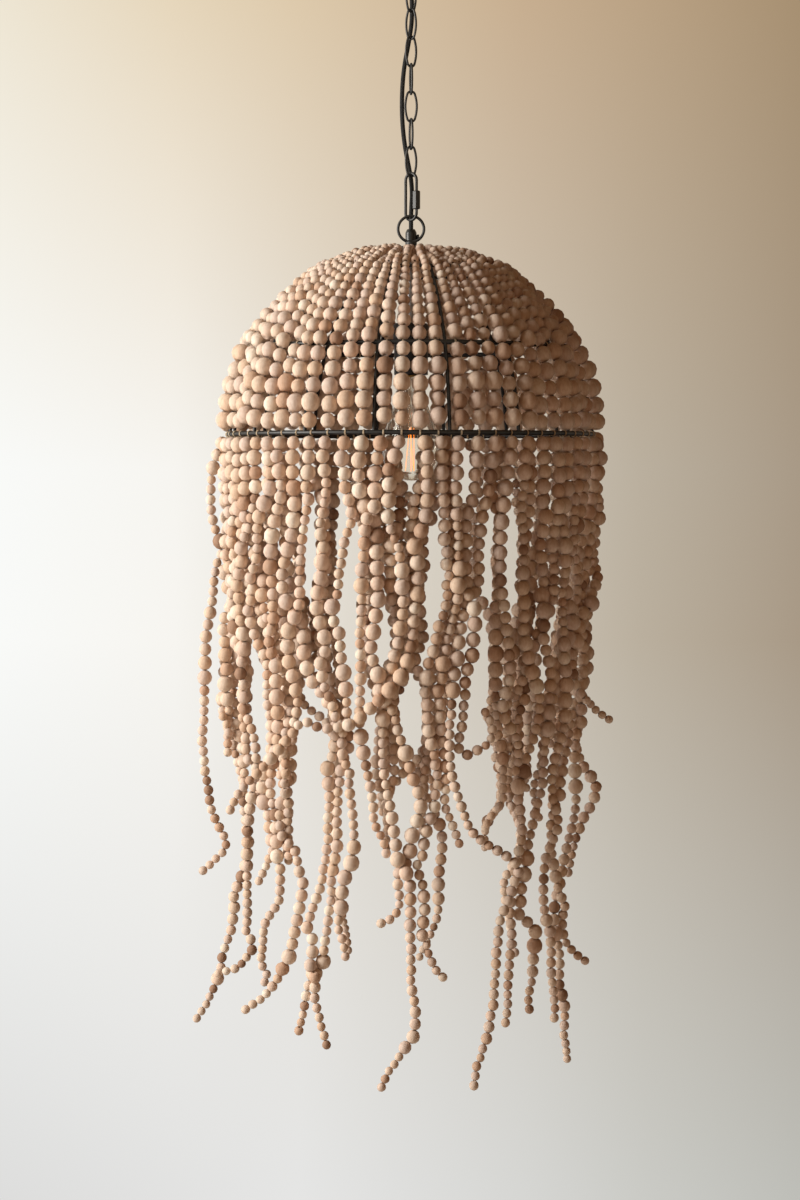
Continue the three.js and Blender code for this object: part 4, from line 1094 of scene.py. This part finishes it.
# Courses of 25 strings in front, as seen from the camera: leg and string, then how far across and down
# the picture each point lies, in its pixels. Twenty start near the hoop, five lower down.
COURSES = {
    (0, 0): (
        341, 462, 346, 478, 351, 506, 350, 522, 344, 540, 341, 560, 338, 575, 337, 592, 332, 605,
        332, 618, 338, 632, 340, 655, 343, 675, 346, 705, 343, 735, 342, 755, 346, 780, 351, 808,
        353, 835, 353, 847, 352, 858, 349, 868, 346, 875, 341, 884, 341, 901, 338, 918, 338, 934,
        342, 944, 344, 958, 347, 966,
    ),
    (0, 1): (
        357, 460, 357, 475, 361, 492, 366, 507, 373, 522, 376, 537, 375, 567, 376, 580, 378, 604,
        375, 616, 371, 632, 369, 647, 372, 660, 380, 675, 385, 692, 392, 712, 397, 733, 404, 750,
        410, 770, 414, 785, 419, 797, 423, 815, 414, 845, 404, 866, 398, 884, 400, 903, 398, 911,
        393, 920, 382, 925, 373, 929,
    ),
    (0, 2): (
        376, 460, 374, 475, 374, 490, 375, 505, 371, 520, 366, 538, 363, 560, 361, 580, 361, 605,
        360, 640, 360, 668, 359, 705, 359, 735, 364, 761, 370, 791, 373, 812, 373, 823, 379, 835,
        384, 847, 386, 858, 385, 866,
    ),
    (0, 3): (
        393, 457, 388, 466, 386, 486, 387, 496, 390, 508, 391, 523, 395, 546, 402, 567, 403, 597,
        402, 634, 400, 650, 397, 663, 391, 678, 386, 693, 383, 712, 382, 727, 382, 763, 383, 775,
        389, 803, 391, 816, 393, 831, 394, 842, 398, 851, 400, 861, 403, 870, 407, 881, 410, 894,
        410, 925, 410, 936, 411, 949, 410, 964, 411, 977, 410, 988, 413, 999, 414, 1009, 415, 1020,
        414, 1033, 412, 1042, 405, 1051, 398, 1062, 393, 1070, 386, 1079, 383, 1088, 376, 1100,
    ),
    (0, 5): (
        441, 462, 444, 475, 446, 497, 445, 523, 449, 549, 452, 572, 451, 590, 447, 608, 441, 630,
        438, 645, 435, 660, 431, 678, 428, 697, 430, 720, 432, 735, 436, 750, 439, 770, 438, 790,
        431, 808, 425, 822, 420, 840, 417, 857, 419, 881, 423, 890, 422, 901, 424, 909, 422, 925,
        421, 936, 426, 948, 429, 959, 433, 968, 437, 975, 443, 981, 447, 988,
    ),
    (0, 6): (
        455, 462, 451, 480, 452, 500, 455, 520, 458, 545, 459, 575, 457, 600, 451, 620, 447, 650,
        443, 680, 441, 715, 442, 750, 444, 780, 443, 803, 446, 811, 450, 821, 455, 834, 460, 848,
    ),
    (0, 7): (
        474, 475, 474, 487, 469, 506, 464, 520, 460, 535, 461, 556, 464, 577, 466, 598, 468, 620,
        468, 640, 465, 660, 462, 680, 461, 697, 463, 710, 462, 725, 459, 737, 458, 748, 464, 755,
        474, 752, 484, 747, 490, 740, 492, 730, 488, 718, 482, 708,
    ),
    (7, 2): (
        256, 459, 257, 473, 256, 490, 252, 510, 247, 535, 242, 560, 238, 585, 239, 605, 240, 627,
        242, 655, 240, 668, 243, 690, 243, 708, 248, 722, 253, 738, 255, 755, 254, 780, 248, 815,
        246, 845, 246, 870, 246, 891, 246, 921, 245, 933, 249, 941, 251, 951, 243, 963, 237, 970,
        229, 973, 211, 978,
    ),
    (7, 3): (
        268, 459, 270, 473, 270, 490, 264, 507, 257, 520, 256, 535, 257, 549, 256, 570, 253, 595,
        250, 618, 253, 632, 258, 646, 266, 662, 266, 690, 268, 713, 272, 730, 270, 755, 262, 790,
        268, 820, 272, 845, 266, 865, 260, 878, 254, 890,
    ),
    (7, 4): (
        278, 456, 280, 470, 282, 484, 281, 500, 275, 520, 271, 540, 270, 565, 272, 590, 270, 615,
        271, 642, 276, 660, 278, 685, 281, 712, 276, 740, 271, 765, 269, 790, 273, 813, 277, 840,
        279, 870, 278, 900, 275, 908, 270, 915, 263, 928, 262, 938, 261, 951, 260, 966, 265, 976,
        263, 986,
    ),
    (7, 6): (
        308, 459, 308, 485, 309, 496, 305, 515, 302, 535, 300, 558, 299, 582, 299, 605, 294, 622,
        287, 640, 288, 663, 293, 682, 297, 704, 294, 718, 289, 733, 284, 750, 284, 768, 287, 785,
        284, 805, 280, 832, 287, 842, 295, 853, 296, 861, 298, 873, 302, 886, 300, 900, 298, 911,
        294, 931, 289, 956, 284, 966, 279, 976, 275, 984, 269, 992, 260, 1002, 248, 1010, 238, 1018,
    ),
    (7, 7): (
        322, 460, 325, 476, 325, 492, 321, 519, 321, 534, 323, 546, 321, 566, 320, 578, 317, 592,
        316, 610, 321, 630, 325, 645, 321, 660, 319, 672, 323, 690, 330, 702, 336, 716, 338, 735,
        333, 760, 331, 800, 328, 840, 322, 880, 310, 915, 306, 933, 313, 944, 316, 958, 315, 969,
        312, 987, 311, 996, 314, 1006, 316, 1014, 318, 1021, 320, 1031, 322, 1037, 325, 1047, 326, 1062,
    ),
    (7, 5): (
        292, 458, 292, 473, 294, 497, 293, 518, 291, 535, 284, 560, 281, 580, 285, 602, 297, 620,
        303, 634, 302, 648, 304, 664, 311, 680, 322, 692, 334, 712, 342, 732, 343, 755, 338, 772,
        335, 800, 333, 828, 335, 842, 334, 853, 333, 865, 330, 878, 330, 890, 331, 900, 328, 911,
        326, 933, 322, 948, 318, 960, 306, 996, 304, 1004, 302, 1017, 298, 1032, 296, 1043,
    ),
    (6, 6): (
        246, 835, 247, 848, 245, 860, 243, 871, 233, 898, 233, 913, 231, 924, 229, 936, 225, 946,
        220, 963, 219, 973, 212, 992, 207, 1002, 203, 1011, 198, 1017, 194, 1024,
    ),
    (6, 4): (
        218, 456, 213, 470, 211, 488, 211, 505, 213, 520, 218, 537, 222, 548, 217, 563, 214, 578,
        212, 600, 208, 622, 205, 644, 203, 721, 201, 735, 203, 757, 204, 772, 207, 787, 209, 804,
        212, 815, 217, 826, 222, 836, 225, 843, 222, 853, 215, 860, 208, 867, 201, 873,
    ),
    (1, 0): (
        491, 461, 490, 475, 488, 492, 482, 513, 479, 537, 475, 555, 473, 575, 470, 595, 464, 615,
        459, 632, 454, 650, 451, 668, 448, 694, 447, 720, 447, 743, 451, 776, 467, 824, 472, 833,
        479, 840, 489, 847, 502, 855, 512, 862, 518, 871, 516, 880, 512, 890, 509, 901, 502, 918,
        499, 929, 498, 944, 496, 959, 496, 972, 494, 994, 494, 1004, 492, 1015, 489, 1027, 489, 1036,
        484, 1049, 481, 1061, 477, 1070, 475, 1084, 473, 1096,
    ),
    (1, 2): (
        524, 462, 525, 475, 522, 492, 521, 513, 523, 536, 523, 560, 522, 583, 524, 608, 523, 630,
        527, 650, 531, 670, 536, 684, 540, 705, 535, 735, 524, 765, 518, 790, 521, 815, 522, 840,
        516, 880, 511, 920, 512, 930, 512, 940, 511, 951, 510, 964, 509, 976, 508, 994, 508, 1012,
        506, 1023, 506, 1034,
    ),
    (1, 3): (
        541, 462, 543, 477, 540, 494, 545, 512, 543, 533, 541, 550, 544, 572, 547, 590, 545, 615,
        541, 635, 543, 650, 549, 662, 551, 680, 549, 710, 545, 745, 540, 790, 532, 830, 523, 870,
        519, 912, 522, 918, 528, 925, 534, 932, 536, 938, 535, 948, 534, 959, 533, 977, 532, 987,
        529, 1000, 530, 1013, 529, 1023,
    ),
    (1, 5): (
        544, 888, 544, 901, 545, 912, 547, 922, 550, 929, 551, 940, 552, 955, 552, 975, 554, 992,
        555, 1003, 556, 1016, 554, 1028,
    ),
    (2, 1): (
        562, 875, 561, 885, 560, 900, 558, 922, 559, 949, 561, 960, 560, 981, 561, 990, 563, 999,
        565, 1007, 566, 1020, 565, 1041, 567, 1049, 569, 1070,
    ),
    (2, 2): (
        560, 925, 565, 942, 572, 952, 582, 961, 592, 967,
    ),
    (2, 4): (
        572, 660, 577, 688, 585, 701, 598, 712, 613, 722,
    ),
    (0, 4): (
        427, 457, 424, 488, 424, 502, 422, 520, 416, 533, 411, 547, 416, 562, 418, 578, 415, 595,
        413, 612, 411, 630, 400, 668, 385, 692, 372, 707, 355, 721, 337, 729, 318, 728, 302, 722,
        293, 732, 276, 752, 258, 772, 242, 788, 232, 804, 226, 818,
    ),
    (1, 1): (
        508, 462, 507, 474, 505, 486, 502, 502, 500, 520, 499, 546, 499, 566, 500, 589, 504, 611,
        507, 633, 509, 655, 509, 680, 503, 700, 504, 716, 510, 728, 517, 741, 518, 756, 518, 775,
    ),
    (2, 3): (
        590, 462, 592, 480, 596, 498, 597, 513, 593, 532, 589, 550, 586, 575, 585, 605, 586, 630,
        583, 655, 579, 700, 576, 740, 583, 765, 592, 778, 597, 790, 592, 806, 583, 822, 574, 850,
        568, 880,
    ),
}

# Strings that pass in front of the others all the way down
IN_FRONT = ((0, 4), (0, 7), (1, 0), (2, 3), (2, 4), (6, 4))

# Where the wall shows through the skirt: middle across and down the picture, half width, half height
WINDOWS = (
    (410, 455, 6, 18),
    (463, 478, 7, 12),
    (437, 567, 8, 45),
    (488, 553, 4, 33),
    (356, 562, 4, 28),
    (382, 640, 7, 16),
    (310, 545, 4, 45),
    (481, 655, 4, 28),
    (511, 572, 4, 45),
    (259, 715, 5, 38),
    (313, 700, 8, 12),
    (310, 795, 16, 60),
    (212, 748, 6, 55),
    (410, 715, 8, 24),
    (405, 830, 9, 30),
    (476, 725, 8, 18),
    (480, 795, 14, 32),
    (504, 842, 9, 12),
    (362, 855, 7, 22),
    (544, 668, 4, 12),
)


def course_points(course, in_front):
    """Points across and down the picture, put in place on the near side of the skirt, whose radius
    shrinks below the hoop, or beside it where the picture shows them further out. A string comes nearer
    or goes back by no more than 0.3 of its fall."""
    column, row = np.reshape(course, (-1, 2)).astype(float).T
    drops = EYE_BELOW + (row - EYE_ROW) * MM_PER_PIXEL
    behind = 0 if in_front else 0.05
    reach = SKIRT_REACH * (1 - 0.065 * between(drops, 0, 160) - behind * between(drops, 280, 420))
    # Depth and scale depend on each other, so they are worked out in turn
    near = -reach
    for _ in range(6):
        scale = MM_PER_PIXEL * (EYE_DISTANCE + near) / EYE_DISTANCE
        near = -np.sqrt(np.maximum(reach**2 - ((column - AXIS_COLUMN) * scale) ** 2, 0))
        for i in range(1, len(near)):
            most = 0.3 * abs(drops[i] - drops[i - 1])
            near[i] = np.clip(near[i], near[i - 1] - most, near[i - 1] + most)
    scale = MM_PER_PIXEL * (EYE_DISTANCE + near) / EYE_DISTANCE
    across = (column - AXIS_COLUMN) * scale
    return np.stack([across, near, HOOP_LEVEL - EYE_BELOW - (row - EYE_ROW) * scale], -1)


def parted(line):
    """A string moved aside, to the nearer edge, where it would hang across a window in the skirt."""
    bead_room = 9
    scale = MM_PER_PIXEL * (EYE_DISTANCE + line[:, 1]) / EYE_DISTANCE
    column = AXIS_COLUMN + line[:, 0] / scale
    row = EYE_ROW + (HOOP_LEVEL - EYE_BELOW - line[:, 2]) / scale
    for middle, level, half_width, half_height in WINDOWS:
        fade = 18 + 1.5 * half_width
        inside = smooth((half_height + fade - np.abs(row - level)) / fade)
        side = -1 if ((column - middle) * inside).sum() < 0 else 1
        room = half_width + bead_room
        column = column + side * np.clip(room - side * (column - middle), 0, 2 * room) * inside
    return np.stack([(column - AXIS_COLUMN) * scale, line[:, 1], line[:, 2]], -1)


def sway(angle, drops):
    """How far a string drifts along the hoop: two waves round it that shift with the drop, so that
    neighbours come together and part."""
    turn = np.radians(angle)
    # Millimetres aside, waves round the hoop, millimetres of drop to a radian, and phase
    waves = 8 * np.sin(15 * turn + drops / 55 + 0.9) + 7 * np.sin(9 * turn - drops / 80 + 2.1)
    return between(drops, 25, 135) * waves


def hung(radius, turn, drops):
    """Points at the given distances from the axis, degrees from the front, and drops below the hoop."""
    line = radius[:, None] * direction(turn)
    line[:, 2] = HOOP_LEVEL - drops
    return line


def skirt_strings():
    """The outer strings' fine paths, with the front ones led into their own courses."""
    # How far above its course a string's own path ends, and the drop below which it starts to turn
    join, free = 20, 60
    lines = []
    for leg in range(LEG_COUNT):
        for string in range(LEG_STRINGS):
            end = END_SHARES[leg][string] * SKIRT_DROP
            course = COURSES.get((leg, string))
            drops = np.arange(0, end, STRING_STEP)
            line = string_line(leg, string, drops, end)
            # Below the hoop the string wanders in slow waves, aside and in depth
            wander = between(drops, 20, 130)
            amplitude, other = rng.uniform(3, 7), rng.uniform(2, 6)
            period, first, second = rng.uniform(110, 220), rng.uniform(0, 6.28), rng.uniform(0, 6.28)
            along = wander * amplitude * np.sin(drops / period * 2 * np.pi + first)
            along = sway(top_turn(leg, string), drops) + along
            deep = wander * other * np.sin(drops / period * 1.4 * 2 * np.pi + second)
            radius = np.hypot(line[:, 0], line[:, 1])
            turn = np.degrees(np.arctan2(line[:, 0], -line[:, 1])) + np.degrees(along / radius)
            radius = radius * (1 - LEG_DRAWS[leg] * between(drops, 50, 170)) + deep
            if course is None:
                line = parted(hung(radius, turn, drops))
            else:
                led = course_points(course, (leg, string) in IN_FRONT)
                x, y, level = led[0]
                start = HOOP_LEVEL - level
                upper = drops < start - join
                lead_from = min(free, start / 2)
                lead = between(drops[upper], lead_from, start)
                turn_there = np.interp(start, drops, turn, right=turn[-1])
                radius_there = np.interp(start, drops, radius, right=radius[-1])
                away = (np.degrees(np.arctan2(x, -y)) - turn_there + 180) % 360 - 180
                turn = turn[upper] + lead * away
                radius = radius[upper] + lead * (np.hypot(x, y) - radius_there)
                line = np.concatenate([hung(radius, turn, drops[upper]), led])
            lines.append((leg, smooth_path(line, FINE_STEP)))
    return lines


def inner_strings():
    """Strings tied on the inside of the hoop, which hang straighter and end higher."""
    lines = []
    for leg in range(LEG_COUNT):
        for place, end_share in zip(INNER_PLACES, INNER_END_SHARES[leg % 2]):
            drops = np.arange(0, end_share * SKIRT_DROP, STRING_STEP)
            turn = leg * LEG_ANGLE + place * (1 - 0.3 * between(drops, 80, 340))
            along = sway(leg * LEG_ANGLE + place, drops) * 0.6 + 4 * np.sin(drops / 31 + place)
            turn += np.degrees(along / INNER_REACH)
            radius = INNER_REACH * (1 - 0.17 * between(drops, 40, 340))
            radius += 5 * np.sin(drops / 47 + place + leg)
            lines.append((leg, smooth_path(parted(hung(radius, turn, drops)), FINE_STEP)))
    return lines


def bead_sizes(length):
    """Diameters down a string: three large beads at the hoop, then runs of small, middling and large
    ones, and the smallest at the end."""
    sizes = list(rng.uniform(14.4, 18.2, 3))
    while sum(sizes) * STRUNG < length:
        odds = UPPER_ODDS if sum(sizes) < ODDS_CHANGE else LOWER_ODDS
        diameters, counts = BEAD_RUNS[rng.choice(3, p=odds)]
        count = rng.integers(*counts)
        sizes += list(rng.uniform(*diameters, count))
    sizes = np.array(sizes)
    tip_length = 42
    foot = np.cumsum(sizes) * STRUNG > length - tip_length
    sizes[foot] = rng.uniform(9.4, 10.8, foot.sum())
    return sizes


def strung(line):
    """Beads placed one against the next along a path, from just below the hoop's wire."""
    run = run_along(line)
    start = HOOP_WIRE / 2 + 0.9
    sizes = bead_sizes(run[-1] - start)
    places = start + np.cumsum(sizes) * STRUNG - sizes / 2
    # The last bead may stand out past the path's end by this much
    keep = places + sizes / 2 <= run[-1] + 4
    return sampled(line, run, np.minimum(places[keep], run[-1])), sizes[keep] / 2


def skirt_beads():
    """Ninety-six strings in eight legs, settled against each other: sixty-four on the outside of the
    hoop and thirty-two on its inside."""
    centres, radii, owner, legs = [], [], [], []
    for number, (leg, line) in enumerate(skirt_strings() + inner_strings()):
        spots, sizes = strung(line)
        centres.append(spots)
        radii.append(sizes)
        owner.append(np.full(len(sizes), number))
        legs.append(np.full(len(sizes), leg))
    centres, radii, owner, legs = (np.concatenate(part) for part in (centres, radii, owner, legs))
    centres = relax(centres, radii, owner)
    ahead, behind = np.roll(centres, -1, 0), np.roll(centres, 1, 0)
    same_ahead = np.roll(owner, -1) == owner
    same_behind = np.roll(owner, 1) == owner
    same_ahead[-1] = same_behind[0] = False
    axes = np.where(same_ahead[:, None], ahead, centres) - np.where(same_behind[:, None], behind, centres)
    axes += rng.normal(0, 0.09, axes.shape) * np.linalg.norm(axes, axis=1)[:, None]
    tints = np.clip(rng.normal(0.5, 0.25, len(radii)), 0, 1)
    for leg in range(LEG_COUNT):
        mine = legs == leg
        beads = (part[mine] for part in (centres, axes, radii, tints))
        bead_mesh(f"skirt_beads_{leg + 1}", *beads, f"skirt_leg_{leg + 1}", [f"skirt_leg_{leg + 1}"])


skirt_beads()


# Threads


def hoop_threads():
    """Two turns of thread side by side round each hoop, at every column of the dome."""
    parts = []
    # The thread's radius, its middle from the hoop's wire, and half the way between its two turns
    thread, lift, aside = 0.42, 0.4, 0.45
    turn = np.arange(12) * 2 * np.pi / 12
    for (radius, rise), wire in HOOPS:
        ring = wire / 2 + lift
        for column in range(COLUMNS_PER_BAY * RIB_COUNT):
            angle = column_turn(column)
            for offset in (-aside, aside):
                out = direction(angle + np.degrees(offset / radius))
                path = (radius + ring * np.cos(turn))[:, None] * out
                path[:, 2] = HOOP_LEVEL + rise + ring * np.sin(turn)
                parts.append(bent_tube(path, thread, 4, closed=True, across=direction(angle + 90)))
    joined_mesh("hoop_threads", parts, THREAD, "shade", [], 80, tidy=False)


hoop_threads()


# Floor and light


def floor():
    """A plain pale floor well below the lamp."""
    size, level = 3000, -2300
    points = [(-size, -size, level), (size, -size, level), (size, size, level), (-size, size, level)]
    material, tree, shader = finish_of("pale_plaster_floor", "#E9E4DB", 0.9)
    mottled(tree, shader, object_noise(tree, 0.05), [(0.2, "#E4DED4"), (0.8, "#EFEAE2")])
    new_piece("floor", points, [(0, 1, 2, 3)], material=material, smooth=False)


def soft_lamp(name, place, size, power, tint):
    """A square soft box aimed at the middle of the lamp."""
    light = bpy.data.lights.new(name, "AREA")
    light.shape = "SQUARE"
    light.size = size
    light.energy = power
    light.color = colour(tint)[:3]
    lamp = bpy.data.objects.new(name, light)
    bpy.context.collection.objects.link(lamp)
    lamp.location = place
    away = np.subtract(place, (0, 0, -0.75))
    tilt = math.acos(away[2] / np.linalg.norm(away))
    lamp.rotation_euler = (tilt, 0, math.atan2(away[1], away[0]) + math.pi / 2)


def daylight():
    """The world: a pale wall behind with painted light, brighter to the left where the window lamp falls
    and darker tan to the right, and a soft even light.
    """
    world = bpy.data.worlds.new("daylight")
    bpy.context.scene.world = world
    world.use_nodes = True
    tree = world.node_tree
    tree.nodes.clear()
    place = add_node(tree, "ShaderNodeTexCoord")
    axes = add_node(tree, "ShaderNodeSeparateXYZ", {"Vector": place.outputs["Generated"]})

    def share_between(axis, low, high):
        inputs = {"Value": axes.outputs[axis], "From Min": low, "From Max": high}
        return add_node(tree, "ShaderNodeMapRange", inputs).outputs["Result"]

    def either(first, second):
        inputs = {0: first, 1: second}
        return add_node(tree, "ShaderNodeMath", inputs, operation="MAXIMUM").outputs["Value"]

    across = share_between("X", -0.141, 0.141)
    # The wall's colours from left to right, at its foot, its middle and its top: painted light, pale to the
    # left and darker to the right as the light from the window falls off
    bands = [
        [(0.0, "#DDDDDC"), (0.375, "#E5E5E4"), (0.65, "#D6D6D3"), (0.8, "#CACAC5"), (1.0, "#BDBDB7")],
        [(0.0, "#F9FAF8"), (0.22, "#F7F5F0"), (0.45, "#DFD8CC"), (0.8, "#BAAF9E"), (1.0, "#A89986")],
        [(0.0, "#EEE6D4"), (0.22, "#E6D6BB"), (0.375, "#DDC9AB"), (0.65, "#C7AE90"), (1.0, "#A58E70")],
    ]
    foot, wall, top = [ramp(tree, across, band).outputs["Color"] for band in bands]
    for other, low, high in ((foot, -0.06, -0.25), (top, 0.0, 0.163)):
        inputs = {"Fac": share_between("Z", low, high), "Color1": wall, "Color2": other}
        wall = add_node(tree, "ShaderNodeMixRGB", inputs).outputs["Color"]
    # The wall as the camera sees it, with its painted light
    painted_lit_wall = add_node(tree, "ShaderNodeBackground", {"Color": wall, "Strength": 1.0})
    light = add_node(tree, "ShaderNodeBackground", {"Color": colour("#FFBE88"), "Strength": 0.08})
    rays = add_node(tree, "ShaderNodeLightPath").outputs
    looked_at = either(rays["Is Camera Ray"], rays["Is Glossy Ray"])
    looked_at = either(looked_at, rays["Is Transmission Ray"])
    inputs = {0: looked_at, 1: light.outputs["Background"], 2: painted_lit_wall.outputs["Background"]}
    mixed = add_node(tree, "ShaderNodeMixShader", inputs)
    add_node(tree, "ShaderNodeOutputWorld", {"Surface": mixed.outputs["Shader"]})


floor()
soft_lamp("window_left", (-2.82, -0.84, 0.0), 2.0, 142, "#FFFBF4")
soft_lamp("fill_front", (0.8, -3.6, -0.9), 2.4, 8.4, "#FFC694")
daylight()
bpy.context.scene.view_settings.view_transform = "Standard"
